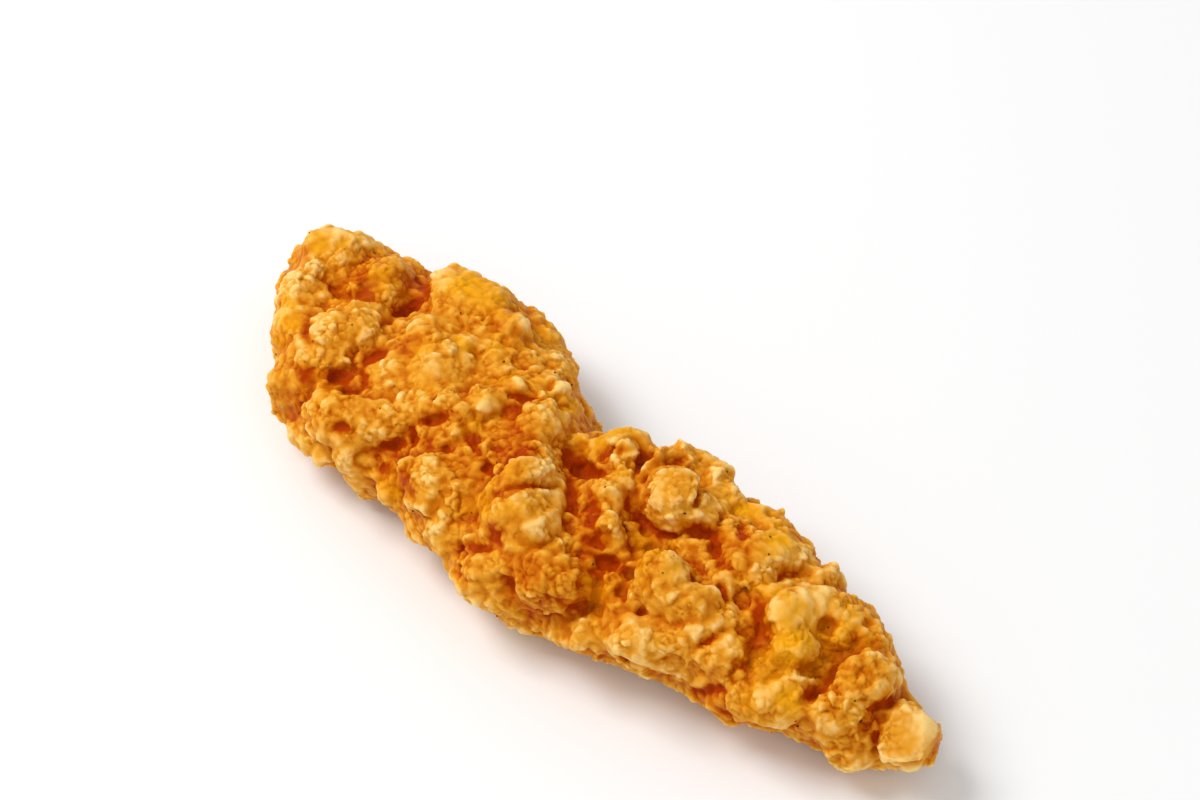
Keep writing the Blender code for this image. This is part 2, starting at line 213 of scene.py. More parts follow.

# %% [markdown]
# ## What can be told apart
#
# The crags on the visible side were placed one by one. Each row has a place on the
# base, half a length and half a width, how far it rises, and the turn of its length away
# from X. There are five kinds: knobbly crags, smoother lumps, round beads, thin flakes and
# the square block at the tip.

# %% Named places, in mm and degrees
NAMED = {
    "crag": (
        (-59.5, 6.9, 19.2, 2.1, 1.5, 2, 128), (-58.8, 10.4, 17, 2.8, 2, 1.8, 127),
        (-55.8, 11.3, 16, 2.1, 1.5, 1.8, 125), (-62.2, 3.4, 18.8, 3.2, 2.3, 2.2, 156),
        (-57.4, 1.4, 18.2, 2.2, 1.9, 2, 141), (-55.5, 4.1, 17.9, 2.5, 2.1, 2, 60),
        (-57.8, -1.6, 18.7, 1.8, 1.5, 1.3, 157), (-49.3, 0, 20.2, 1.7, 1.1, 1, 152),
        (-49.6, 5.3, 20.3, 3, 1.4, 1.4, 148), (-57.3, -6.1, 18, 3.1, 2.1, 1.5, 156),
        (-45.9, -7.1, 20.8, 3.9, 2.6, 2.4, 148), (-43.4, -12.1, 18.6, 4.2, 3.2, 2.8, 43),
        (-40.6, -9.6, 18.9, 2.1, 1.5, 2.6, 143), (-45.6, -3.3, 20.6, 2.3, 1.6, 1.8, 147),
        (-40, -5.6, 20, 1.9, 1.2, 1.4, 131), (-41.9, -2.5, 20.4, 3.2, 1.8, 1.7, 122),
        (-43.8, 2, 19.5, 3.1, 1.2, 1.7, 116), (-37.1, -1.8, 19.7, 1.7, 0.7, 1, 142),
        (-35.1, -1.5, 20.3, 1.7, 1, 1, 151), (-31.7, 8.3, 20.2, 3, 2.1, 1.6, 91),
        (-30.2, 1.9, 21.8, 1.9, 1.1, 1, 78), (-26.6, 8.3, 20, 2.8, 2, 1.5, 111),
        (-26.1, 1.7, 21.3, 3.7, 2.4, 1.6, 127), (-23, 7.2, 19.9, 1.7, 1.2, 1.5, 133),
        (-19.9, 5.2, 20.3, 2.3, 1.5, 1.5, 168), (-21.3, 8.6, 19.6, 1.2, 1, 1.1, 115),
        (-14.5, 0.8, 22.7, 1.2, 1, 1.2, 147), (-16.8, -1.8, 22.6, 3, 1.1, 2, 144),
        (-20.1, -6.2, 22.3, 2.8, 1.4, 2, 125), (-23, -8.4, 21, 2.6, 1.7, 1.5, 150),
        (-25.4, -9.9, 20.2, 2.5, 1.8, 1.7, 148), (-22.6, -13.1, 19.1, 2.1, 1, 1.5, 25),
        (-36.9, -20.9, 10.1, 4.4, 2.3, 2.8, 30), (-45.7, -18.4, 6.4, 2.8, 1.6, 2, 152),
        (-26.7, -13.1, 19.9, 1.3, 1.1, 1.3, 30), (-27.3, -17.1, 18.3, 2.1, 0.9, 1.9, 132),
        (-24.6, -14.4, 19.2, 2.7, 1.7, 2.1, 60), (-25.9, -18.2, 16.2, 1.5, 1, 1.5, 79),
        (-27.3, -21.5, 12.5, 4, 1.8, 2.3, 131), (-25.8, -19.6, 14.3, 2, 1.2, 2.1, 153),
        (-20.6, -19.8, 13, 3, 2.1, 1.9, 16), (-20.8, -21, 10.5, 2.6, 1.2, 1.3, 145),
        (-17.6, -21.4, 10, 3, 2, 1.7, 102), (-14.7, -20.3, 12.8, 3.5, 1.3, 1.5, 23),
        (-14, -21, 9.2, 2.8, 1.6, 1.3, 93), (-18.3, -12.5, 19.1, 2.5, 1.8, 1.9, 158),
        (-16.2, -9.8, 20.3, 2.2, 1.2, 1.9, 128), (-13.8, -8.7, 20.6, 1.3, 1, 1.3, 161),
        (-16, -17, 19.3, 2.1, 1.7, 1.9, 173), (-12.7, -17.3, 19.8, 2.7, 2, 2.5, 147),
        (-11.8, -19.2, 18.4, 2.5, 1.3, 2.1, 25), (-10.1, -16.6, 19.8, 2.1, 1.2, 2, 147),
        (-11.9, -13.6, 19.7, 2.1, 1.1, 1.7, 138), (-11.5, -11.9, 19.8, 2.3, 1.2, 1.9, 139),
        (-8.6, -10.1, 20.4, 1.5, 1.2, 1.3, 178), (-7.2, -11.8, 19.9, 1.8, 1, 1.5, 1),
        (-8.9, -7.3, 21.3, 3.3, 1, 1.5, 158), (-1.6, -2.1, 20.2, 3.9, 2.4, 3, 107),
        (-1.6, -8.7, 23.9, 2.2, 1.7, 2.4, 45), (1.2, -7.1, 22.8, 4.6, 1.7, 2.8, 81),
        (-9.8, -20.3, 16.3, 2.4, 1.1, 1.6, 48), (-5.8, -17.6, 17.3, 2.1, 1.4, 2, 31),
        (4.3, -19.4, 17.2, 2.9, 1.8, 2.2, 18), (0.9, -21.1, 14.7, 1.4, 1.3, 1.5, 10),
        (3.9, -21.6, 14.7, 2.1, 1.9, 2.1, 82), (2.9, -22.6, 11.6, 3.2, 1.2, 1.7, 110),
        (6.7, -20.3, 15.9, 2.1, 1.6, 2.1, 88), (6.5, -21.4, 13.1, 2.6, 1.3, 1.9, 90),
        (6.1, -22, 10.3, 4.1, 2.3, 1.6, 157), (7.6, -17.9, 19.1, 2.3, 1.8, 2.1, 39),
        (9.7, -17.2, 19.5, 1.4, 1.2, 1.9, 143), (11, -11.9, 19.6, 2.2, 1, 2.2, 63),
        (13.3, -9.4, 19.5, 1.2, 1, 1.9, 147), (13.3, -17.6, 18.6, 1.1, 0.8, 3.4, 48),
        (16.2, -16.5, 18.3, 1.3, 0.7, 3.4, 55), (17, -14.2, 18.7, 1.2, 1, 3.2, 63),
        (13.2, -18.7, 17.3, 1.6, 0.9, 3.2, 61), (14.4, -12.8, 18.9, 1.7, 1, 3.2, 61),
        (13.5, -14.8, 19.6, 1.2, 0.8, 3.3, 57), (22.1, -17, 12.6, 2.9, 1.8, 2.2, 141),
        (-2.3, 3.1, 19.8, 1.7, 1.1, 1.6, 56), (6, 3.6, 21.1, 1.8, 1.6, 2.2, 146),
        (7.3, 5.3, 21, 1.7, 1.3, 2.2, 120), (9.3, -1.4, 20.8, 2.6, 2.2, 3, 136),
        (10.3, 1.5, 20.5, 2.5, 2, 3, 91), (8.8, -3.3, 20.1, 1.5, 1.3, 2.2, 2),
        (13.1, -2.3, 19.8, 2.4, 1.8, 2.5, 58), (15.5, -5.1, 21, 2.4, 1.7, 2.2, 150),
        (16.8, -2.4, 18.2, 2.8, 1.6, 2.3, 138), (14.3, 5.4, 21.8, 4, 2.1, 3.2, 145),
        (17.9, 6.9, 23.6, 4.2, 2.4, 3.3, 127), (19.5, 2, 21.7, 2.6, 2.2, 3.1, 120),
        (21.6, 4, 22.2, 2.2, 1.8, 3, 140), (10.7, 8.3, 19.4, 2.5, 0.8, 1.8, 135),
        (20.1, -0.8, 18.3, 1.7, 1, 1.5, 160), (13.4, 13.2, 17.3, 2.4, 1.9, 4, 78),
        (15.5, 15.3, 17.6, 3, 1.4, 2, 155), (18.1, 12.6, 19.3, 3, 1.9, 2.7, 137),
        (21.3, 11, 19.4, 3.6, 2.3, 2.7, 152), (22.7, 7.8, 21.1, 2.4, 1.8, 2.2, 98),
        (24.1, 10.4, 19.4, 2.9, 1.2, 2.3, 126), (24.6, -5.8, 21.4, 3.7, 2.7, 3.1, 152),
        (19.8, -9.8, 17.7, 1.4, 1.4, 2.2, 165), (24.4, -9.3, 19.5, 2, 1.6, 2.1, 159),
        (29.7, 0.1, 19.6, 1.6, 1.3, 1.6, 14), (33.5, 2.2, 20.8, 1.3, 0.9, 1.5, 136),
        (27.6, -16.2, 14.7, 2.3, 1.9, 2.2, 65), (23.5, -13.6, 15.7, 2.1, 1.6, 2, 45),
        (23.8, -15.4, 14.2, 2.3, 1.5, 1.8, 113), (25, -11.3, 17.1, 1.6, 1.5, 1.6, 0),
        (28.3, -9.4, 18.7, 1.5, 0.9, 1.5, 44), (34.8, -10.4, 16.9, 1.5, 1.4, 1.9, 44),
        (36.2, -8.2, 18.4, 1.9, 1.1, 2, 79), (44.6, -9.7, 13, 2.2, 0.8, 1.9, 122),
        (26.5, 9.7, 19.4, 2.8, 1.6, 2, 135), (35.1, 4.7, 20.9, 2.1, 1.3, 1.7, 141),
        (36, 14.1, 17.1, 2.7, 1.8, 1.6, 88), (40.3, 13.4, 16, 2.9, 1.9, 1.7, 97),
        (41.8, 16, 10.6, 2.9, 1.9, 1.7, 79), (38.4, 3.7, 19.9, 1.3, 1.1, 1.5, 75),
        (39.9, 6.1, 19, 1.9, 1.3, 1.8, 97), (39.4, 2, 19.8, 1.2, 0.9, 1.5, 33),
        (35.8, 0.9, 19.3, 1.4, 1.1, 1.5, 48), (46.3, -0.8, 18.7, 1.8, 1.8, 2.9, 18),
        (36.9, -2, 18.2, 1.6, 1.3, 2.4, 65), (42.2, -1.8, 17.5, 1.1, 1, 0.9, 27),
        (45.9, -6.2, 15.9, 1.3, 1.3, 1.8, 54), (46.5, -4.6, 16.1, 1.3, 0.9, 1.7, 137),
        (48.2, 10.8, 16.7, 4.2, 2.6, 2.1, 112), (55.4, 2.7, 16.7, 2.3, 1.9, 2.7, 131),
        (57.7, 5.9, 16.8, 3.2, 2.7, 2.8, 57), (58.7, 2.1, 16.2, 2.5, 1.4, 2.4, 70),
        (56, -2.6, 14.6, 2.6, 1.8, 2.3, 72), (59.2, -0.8, 14.8, 2.6, 1.8, 2.4, 32),
        (58.4, -3.9, 12.1, 2.7, 1.9, 2, 145), (61.7, -1.3, 11.4, 2.9, 2.1, 2, 161),
        (61.2, -3.3, 7.9, 2.5, 2.3, 1.8, 45), (61.1, 5.3, 15, 2.2, 1.9, 2, 48),
        (63.2, 1.3, 12.9, 1.6, 1.3, 1.6, 52), (40.6, 14.7, 14.9, 2.5, 1.2, 2.6, 67),
        (47, 13.3, 13.9, 2.2, 1.3, 2.9, 55), (54.2, 10.7, 15.7, 2.7, 1.6, 1.5, 109),
    ),
    "lump": (
        (-62.1, -0.7, 15.8, 5.6, 2.4, 1.5, 140), (-51.4, -11.5, 17.5, 6.2, 3.8, 1.5, 134),
        (-46.7, 8.6, 18.5, 5.1, 3.7, 2, 111), (-35.5, 1.9, 20.6, 3.9, 2.3, 1.5, 144),
        (-45.7, -18, 12, 7.4, 4, 1.4, 40), (-37.4, -17.3, 18.1, 2.9, 1.4, 2.2, 136),
        (-35.3, -16.4, 18.6, 2.8, 1.2, 2.1, 137), (-32, -7.6, 19.6, 4.1, 3.5, 1.3, 137),
        (-26.5, -3.7, 21.4, 4, 3.9, 1.5, 79), (-35.9, 12.4, 20.4, 6.1, 4.6, 1.5, 172),
        (-30, 15.2, 19, 5.7, 4.1, 1.1, 112), (-35, 7.4, 20.2, 4.7, 2.1, 1.3, 134),
        (-12.6, 5.6, 21.7, 1.4, 0.7, 1.6, 141), (-10.8, 5.1, 21.8, 1.2, 0.9, 1.7, 157),
        (-9.8, 6.4, 21.2, 1.2, 0.9, 1.8, 75), (-9.6, 8.6, 20.8, 1.7, 0.7, 1.7, 99),
        (-13.9, 10.8, 19.1, 2.9, 1.6, 0.9, 133), (-14.7, -3.3, 22.3, 2, 1.8, 2, 51),
        (-6, 1, 22.3, 3.3, 2.9, 2.6, 42), (-31.1, -18.6, 17.7, 3.7, 3.3, 3, 29),
        (-27.4, -20.3, 7.3, 4.5, 2.2, 1.9, 18), (-9.3, -3.6, 21.6, 3, 2.2, 0.9, 165),
        (2, -4.2, 19.9, 2.5, 1.6, 2.6, 102), (4.4, -11.1, 22.6, 6.8, 1.9, 3.2, 71),
        (4.7, -15.7, 22.1, 2.8, 2.1, 2.8, 134), (6.9, -9.5, 20.6, 3, 2, 3, 117),
        (7.6, -14, 21.6, 2.5, 1.9, 3.4, 133), (-5.9, -20.5, 14.3, 3.8, 2.9, 2.4, 80),
        (0.1, -17.1, 18.5, 3.1, 1.8, 1.8, 1), (14.9, -16.7, 18.6, 5, 3.7, 3, 39),
        (3.4, 10.9, 18.1, 4.2, 1.6, 2.5, 89), (5.2, 11.5, 16.4, 2.7, 2.2, 4.7, 90),
        (2.5, 7.9, 19.9, 2.6, 2, 3, 131), (26.6, 7.3, 20, 2.8, 1.6, 2.1, 128),
        (27.9, -4.8, 21.6, 3.5, 2.1, 3.4, 125), (28.3, -7.7, 21, 2.8, 1.8, 3.2, 130),
        (25.6, 1.3, 19.4, 2.9, 1.8, 2.1, 9), (33.3, -5.1, 20.2, 3.5, 2.1, 2.6, 52),
        (30, -12.4, 16.4, 3.8, 2.4, 3, 42), (30.7, -14.8, 14.9, 4.1, 1.9, 2.6, 57),
        (36.8, -5.4, 18.8, 4.8, 1.4, 2.6, 60), (40.5, -6.9, 17.6, 2.3, 1.7, 2.7, 51),
        (40.1, -9.5, 16.1, 3.5, 1.8, 2.6, 67), (38.6, -11.3, 10.8, 5, 1.1, 1, 88),
        (46.4, -9.4, 12.3, 4, 1.5, 1.8, 141), (27.3, 12.9, 18.7, 3.2, 2.2, 2.1, 3),
        (34, 9.2, 20.5, 3.7, 2.9, 2, 80), (44.3, 6.7, 18.9, 3.8, 2.6, 3.2, 107),
        (43.6, 1.7, 19.9, 3, 1.9, 3.1, 131), (48.5, 1, 17.5, 2.9, 2.4, 3.2, 103),
        (50.5, -6.9, 13.8, 3.6, 3.1, 3, 63), (66.5, 1, 8.9, 1.6, 1.4, 2, 97),
        (-41.2, -20.8, 8.6, 3.3, 1.9, 2.9, 163), (-17, -21.2, 9.7, 3.3, 2.3, 1.4, 142),
    ),
    "bead": (
        (-53.4, -4.6, 17.8, 1, 0.9, 1, 148), (-53.4, -2.7, 18, 0.9, 0.7, 0.9, 148),
        (-16, -6.2, 22, 1.2, 1.1, 1.7, 162), (-5.2, 5.6, 20.5, 1.8, 1.2, 1.8, 108),
        (-39.6, -19, 12.8, 1.7, 1.2, 1.8, 175), (-29.6, -14.7, 19.6, 1.5, 1.2, 1.6, 156),
        (-29.9, -20.9, 14.2, 1.7, 1.1, 1.7, 40), (-24.4, -18.8, 13.9, 1.1, 0.9, 1.5, 73),
        (-21.3, -17.4, 15.4, 1.6, 0.8, 1.1, 21), (-18.9, -17.8, 16.1, 1.4, 0.8, 1.1, 163),
        (-9.9, -11.1, 20, 1.1, 0.9, 1.5, 176), (-2.1, -10.1, 23.6, 1.6, 1, 2, 154),
        (0.1, -11.7, 23.8, 0.9, 0.7, 0.9, 11), (10.9, -15.7, 19.9, 1.2, 1, 1.9, 49),
        (10.5, -19.9, 13.3, 1.4, 1, 1.2, 141), (11.7, -8, 20.1, 1.2, 1.1, 1.7, 177),
        (14.8, -9.5, 19, 0.7, 0.7, 1.2, 155), (14.6, -16.2, 19, 0.8, 0.8, 3.5, 47),
        (1.2, 4.8, 19.8, 1.6, 1.1, 2.4, 142), (-1.9, 5.6, 20, 1.2, 1, 1.2, 95),
        (3.9, 0.1, 19.6, 1.2, 0.9, 0.8, 176), (17.3, -5.4, 19.6, 1.3, 1, 1.8, 77),
        (13.5, 3, 20.3, 1.5, 1, 2.3, 147), (16, 1.7, 20.8, 1.2, 0.7, 2, 9),
        (9.6, 12.1, 16.2, 2.4, 2.1, 4.5, 119), (21, -7.1, 18.5, 1.1, 0.9, 1.5, 161),
        (19, -6.4, 18.8, 1, 0.9, 1.3, 108), (17.1, -8.3, 18.9, 0.7, 0.7, 1, 133),
        (32.5, -8.3, 19.8, 1, 0.9, 1.7, 131),
    ),
    "flake": (
        (-25.2, 12.5, 20.9, 2.8, 1, 1.2, 39), (-14, 3.6, 22.8, 2.8, 1, 1.7, 126),
        (-14.2, -7.1, 21.2, 1.7, 0.7, 0.9, 77), (-7.7, -14.3, 19.9, 1.9, 0.8, 1.1, 46),
        (-6, -15.3, 19, 2.3, 0.6, 1.5, 15), (-3.7, -15.6, 18.4, 1.7, 0.8, 1.5, 116),
        (-3.2, -18.3, 16.2, 2.1, 0.8, 2.2, 85), (32.5, 0.2, 20, 1.4, 0.9, 1.9, 53),
        (29.6, -9.7, 17.6, 2.1, 0.7, 1.7, 30), (51.1, -2.9, 15.6, 2.8, 0.9, 2.6, 48),
    ),
    "block": (
        (66.8, 4.1, 11.5, 3.4, 2.9, 6, 40),
    ),
}

# %% [markdown]
# Large gaps stay deep orange, with painted shade making them darker still. Elsewhere some of
# the crust is paler, partly by painted light where it falls on crags, a clear yellow, or
# browner than the rest, partly by painted shade. Such patches are listed too: a place, half a
# length and half a width, the turn, and how strong it is, from 0 to 1.

# %% Patches, in mm and degrees
PATCHES = {
    # deep gaps: painted shade, their deep orange darkened where shade falls in them; they also sink
    # the crust
    "deep": (
        (-52, -0.7, 18.7, 2.9, 1.3, 178, 0.8), (-50.4, 2.4, 20.6, 2.2, 1.6, 152, 0.5),
        (-41.7, 5.5, 18, 3, 1.3, 89, 0.9), (-42.8, 9.3, 18.6, 2.9, 1.1, 139, 0.6),
        (-36.7, -6.4, 19.5, 1.7, 1, 68, 0.7), (-47.9, -10.6, 19.5, 2.9, 0.7, 145, 0.6),
        (-41.3, -16.9, 17, 2.9, 1.3, 137, 0.9), (-38.7, -12.8, 18, 2.7, 0.9, 43, 0.8),
        (-34.7, -13.7, 18.5, 2, 1.5, 22, 0.7), (-34.8, -10.4, 18.8, 1.8, 0.9, 145, 0.5),
        (-29.4, -18.8, 17.2, 1.7, 0.9, 30, 0.5), (-22.1, -15.7, 16.8, 2.3, 0.9, 43, 0.8),
        (-20.2, -13.1, 18.7, 1.6, 0.8, 137, 0.8), (-19.3, -9.9, 20.6, 2.3, 0.8, 50, 0.8),
        (-20.8, -18.3, 14.5, 1.8, 0.9, 15, 0.4), (-15.3, -20, 17.2, 2.2, 1.7, 138, 0.5),
        (-15.5, -13.4, 19.3, 2.2, 0.7, 33, 0.5), (-12, -8.3, 20.7, 2.4, 0.9, 161, 0.7),
        (-6.8, -10.3, 20.4, 1.9, 0.7, 158, 0.5), (-3.1, -5.5, 23.8, 2.4, 1.4, 70, 0.7),
        (-12.4, 1.8, 22.5, 1.8, 0.7, 35, 0.6), (2.6, 0.8, 19.1, 4, 1.3, 174, 1),
        (9.4, 7.3, 19.5, 2.5, 1.3, 127, 1), (5.6, 5, 21.9, 2.2, 0.8, 47, 0.5),
        (5.9, -4.8, 19.8, 3.8, 0.9, 140, 0.5), (3.2, -18, 19.9, 1.7, 1.6, 32, 0.6),
        (-0.1, -19.7, 15.5, 3.1, 0.7, 12, 0.5), (12.1, -7.3, 20.3, 5.4, 1.7, 132, 0.5),
        (16.9, -0.2, 18.7, 2.6, 1.1, 12, 0.8), (12.9, 0, 19.6, 2.4, 0.7, 151, 0.5),
        (24.3, 3.6, 20.6, 2.8, 1.1, 27, 0.9), (27.7, 3.2, 20, 1.5, 0.9, 150, 0.8),
        (20.8, 7.1, 22.5, 3.8, 0.5, 122, 0.5), (17.7, -9.2, 18.1, 1.6, 1.2, 23, 0.9),
        (21.3, -8, 18.3, 1.5, 0.6, 177, 0.9), (19.8, -12.7, 17.7, 2.2, 0.9, 129, 0.7),
        (19.2, -15.8, 14.6, 2.6, 0.9, 52, 0.8), (16.7, -17.4, 15.4, 2.5, 1.5, 59, 0.4),
        (34.4, -1.1, 19.3, 1.3, 0.7, 165, 0.7), (40.3, -0.5, 18.3, 3.2, 1.4, 137, 0.7),
        (43.7, -5.4, 16.6, 3.2, 1, 140, 0.6), (29.7, -3, 20.2, 1.3, 0.6, 126, 0.5),
        (38, 9.2, 18.5, 2.3, 0.9, 55, 0.5), (28.5, 8.4, 20.3, 2.2, 0.8, 138, 0.4),
        (53.4, 6.7, 16.8, 3.2, 1.8, 45, 0.5), (52.9, 2.1, 15.5, 2.2, 1.1, 95, 0.8),
        (53.1, -2.3, 14.8, 2, 0.7, 69, 0.7), (49.8, -1.4, 16.8, 2, 0.8, 55, 0.5),
        (48.2, 5.9, 17.2, 1.2, 1, 128, 0.5), (62.4, 3.5, 14.3, 2.2, 0.8, 68, 0.7),
        (63, 0, 12, 2.3, 0.7, 155, 0.5), (37.9, -8.5, 17.7, 1.6, 0.6, 68, 0.6),
        (2.5, -9.2, 22.6, 4.7, 0.5, 63, 0.5), (40.4, -11.1, 10.7, 3.4, 0.7, 53, 0.5),
        (20.3, 0.4, 18.8, 2.3, 0.7, 39, 0.6), (-17.8, -13.8, 18.7, 10.8, 3.6, 7, 0.3),
        (18.3, -13.9, 18.2, 4.5, 3.7, 130, 0.3), (14.4, 1.3, 19.7, 9.2, 4.5, 177, 0.2),
        (41.1, -2.4, 17.3, 6.1, 2.6, 140, 0.3), (53.7, 1.9, 15.7, 5.2, 3.3, 97, 0.2),
        (14, -18.9, 13.4, 7.3, 3.5, 102, 0.2), (-49.8, 0.2, 20.2, 6.1, 2.7, 13, 0.3),
        (-43.9, 7.1, 17.8, 6.2, 3.4, 113, 0.3), (-36.4, -12.7, 18.2, 5.5, 3, 39, 0.3),
        (61.7, 1.1, 14, 4.3, 1.9, 139, 0.2),
    ),
    # pale patches: painted light where it falls on crags, and paler crust
    "pale_and_lit": (
        (-59.4, 7.8, 18.9, 3.9, 2.1, 71, 0.7), (-58.9, -4.3, 18.2, 4.9, 1.7, 133, 0.7),
        (-54.3, -11, 16.7, 3.9, 1.5, 129, 0.8), (-46.4, -8.1, 20.6, 4.5, 1.7, 133, 0.8),
        (-45.1, -13.2, 18.1, 1.9, 1.9, 24, 0.8), (-40.6, -10, 18.8, 1.5, 1.1, 165, 0.5),
        (-40.2, 11.8, 19.8, 2.5, 1.6, 151, 0.8), (-37.1, 1.9, 19.9, 3.1, 1.9, 138, 0.6),
        (-27.5, -0.8, 22, 6.4, 2.4, 72, 0.9), (-33.1, -7.2, 19.5, 3.1, 1.7, 77, 0.8),
        (-26.5, -10, 20.1, 3.1, 2.1, 71, 0.7), (-32.6, 6, 20.3, 2.2, 1.1, 129, 0.6),
        (-26.7, 7.9, 20, 2.1, 1.1, 93, 0.5), (-19.1, 13.6, 18.2, 4, 3.7, 178, 0.5),
        (-10, 7.1, 21.2, 3, 0.8, 52, 0.7), (-7, 1.1, 22.6, 2.4, 2.1, 78, 0.4),
        (-13.1, -17, 19.9, 3.3, 2.2, 159, 0.8), (-12.4, -12.5, 19.8, 1.9, 1.2, 152, 0.5),
        (-2.3, -1.7, 20.3, 3.8, 2.1, 109, 0.6), (3.9, -12.2, 23.1, 4.7, 1.1, 66, 0.6),
        (7.5, -13.6, 21.7, 2, 1.7, 130, 0.5), (9.4, 0.3, 20.8, 3.4, 2, 71, 0.6),
        (15.4, 4.4, 22.6, 4, 2.7, 154, 0.5), (16.9, 1.9, 21.9, 1.4, 0.6, 8, 0.6),
        (17.5, 13.4, 19.3, 4.5, 1.7, 141, 0.7), (25.7, -4.2, 21.2, 3.8, 2.3, 145, 0.8),
        (24.6, -8.8, 19.9, 2.5, 1.5, 11, 0.4), (29.2, -11.3, 16.5, 3.3, 1.1, 41, 0.7),
        (27.8, -16.4, 14.4, 2.7, 1.9, 97, 0.5), (34.7, -6.7, 19.7, 4.4, 0.9, 60, 0.7),
        (40.3, -7, 17.6, 1.9, 1.4, 50, 0.5), (37.7, -11.4, 11.8, 4.8, 0.8, 94, 0.5),
        (43.4, 7.7, 18.6, 2.7, 1.2, 100, 0.7), (41.6, 2, 20.1, 1.7, 0.9, 135, 0.6),
        (49.3, 9.6, 17, 2.7, 1.7, 43, 0.5), (48.7, -6.8, 14.7, 2.2, 1.4, 108, 0.9),
        (49.9, -3.6, 16, 2.6, 0.6, 47, 0.8), (56.2, 6.8, 17, 3.4, 1.2, 75, 0.7),
        (55.4, 10.7, 15.1, 1.6, 1, 85, 0.5), (65.7, 3, 11.6, 2.9, 2, 137, 0.6),
        (67, 0.9, 8.1, 1.5, 0.9, 88, 0.9), (3.8, -22.7, 10.8, 4.1, 3.4, 129, 0.4),
        (23, -17.4, 11.8, 2.4, 1.2, 146, 0.4), (45.3, -9.9, 11.9, 2.6, 0.8, 160, 0.6),
        (-37.8, -21.5, 9.4, 4.5, 1.2, 14, 0.5), (-27.9, -20.3, 15.1, 2.3, 0.9, 171, 0.4),
        (-6.5, -20.2, 14.9, 2.6, 1.3, 102, 0.5), (9.6, 12.1, 16.2, 1.6, 0.3, 121, 0.5),
        (-27.9, -3.5, 21.5, 9.4, 4.7, 51, 0.5), (-26.3, 4.4, 20.7, 8.9, 4.3, 98, 0.4),
        (66.3, 2.4, 10.8, 4.1, 3.2, 124, 0.5), (-54.1, -6.7, 17.8, 9.5, 3.2, 140, 0.3),
        (30.2, -14.2, 15.8, 8.8, 2.2, 33, 0.3), (2.5, -6.5, 21.3, 5.8, 3.7, 104, 1),
        (-55.5, -3.4, 18.3, 4.8, 2.9, 47, 0.7), (-56.9, 2, 18.2, 4.5, 2.6, 106, 0.6),
        (-42.6, 0.5, 19.4, 2.9, 2.1, 91, 0.6), (-24.6, 1.1, 21, 4.1, 2.8, 126, 0.5),
        (-25.8, -17.3, 17.2, 3.2, 2.3, 57, 0.6), (21, 2.9, 21.8, 3, 2, 57, 0.8),
        (22, 10.9, 19.4, 3.8, 3, 41, 0.7), (37.3, 9.6, 18.9, 5.8, 3.1, 70, 0.9),
        (28.6, -10.2, 17.1, 3.1, 2.6, 5, 0.8), (10.9, -11.8, 19.6, 3.9, 2, 58, 0.4),
        (6.7, -21.2, 13.3, 3.9, 2.7, 107, 0.4), (65.9, 0.1, 6.9, 4.4, 2.6, 101, 0.6),
        (-20.3, 11.5, 18.8, 5.1, 2.5, 65, 0.3), (45.4, 4.8, 18.8, 3.3, 2.4, 117, 0.3),
        (2.9, -7.1, 21.4, 5.1, 3.2, 107, 0.6), (11.9, 0.6, 20.1, 5.1, 2.7, 134, 0.7),
        (21.2, 2.7, 21, 3, 1.8, 55, 0.5), (22.8, 9.6, 19.8, 3.9, 2.7, 70, 0.5),
        (-58.1, 8.4, 18.5, 6, 2.6, 77, 0.6), (-42.5, 0.9, 19.3, 3.3, 2.4, 115, 0.3),
        (34.9, 0.4, 19.4, 3.6, 1.8, 49, 0.6), (37.3, -8.2, 18, 3.6, 1.4, 78, 0.5),
        (29.4, -11.1, 16.6, 3.1, 1.7, 178, 0.4), (46.2, 3.5, 18.4, 4.6, 2.3, 133, 0.4),
        (35.8, -12.6, 11.3, 4, 2.7, 121, 0.4), (66.4, 0.5, 7.8, 3.6, 1.9, 87, 0.5),
        (10.3, -11.7, 19.9, 3.4, 2, 60, 0.4), (-16.4, -20.6, 11.3, 4.3, 2.4, 41, 0.4),
        (-25.6, -17.1, 17.2, 2.9, 2.3, 58, 0.3), (31, -10, 17.1, 4, 2.2, 21, 0.7),
        (29.2, -3.1, 20.3, 4.9, 3, 79, 0.6), (40.9, 16.7, 10, 5.6, 0.9, 65, 0.7),
        (22.1, 11.5, 19.5, 3.6, 3, 127, 0.8), (37.4, 8.7, 19, 6.6, 3.4, 67, 1),
        (65.6, 0.3, 8.2, 3.6, 2.7, 82, 0.8), (-26.7, 3.7, 20.9, 7.7, 3.9, 132, 0.6),
        (-12.5, -13.4, 19.7, 4.1, 3.7, 149, 0.4), (-28.3, -8, 20, 4.3, 2.3, 143, 0.4),
        (3.4, -7.7, 21.4, 4.6, 1.5, 67, 1), (29.8, -10.6, 16.7, 3.3, 2.5, 36, 1),
        (21.6, 2.9, 20.7, 3, 2.9, 93, 1), (36.6, -0.6, 18.5, 3.5, 2.6, 135, 0.8),
        (44.8, 5, 19.2, 4.1, 3, 104, 0.9), (18.1, -17.7, 12.4, 3.5, 2.2, 50, 0.5),
        (-56.9, 2, 18.2, 5.3, 3.2, 101, 0.7), (-41.5, 2.3, 18.5, 5.3, 3.2, 129, 0.6),
        (-11.9, -2.6, 21.5, 3.4, 3, 139, 0.6), (66.3, 3.4, 11.5, 3.1, 2.9, 54, 0.8),
    ),
    "yellow": (
        (-61, 3.5, 19.1, 3.3, 2, 151, 0.6), (-57.8, 6, 19, 1.7, 1.5, 86, 0.5),
        (-53.9, -9.4, 17.6, 3.9, 1.8, 140, 0.7), (-50.8, -12.9, 15.7, 2.6, 1.8, 168, 0.4),
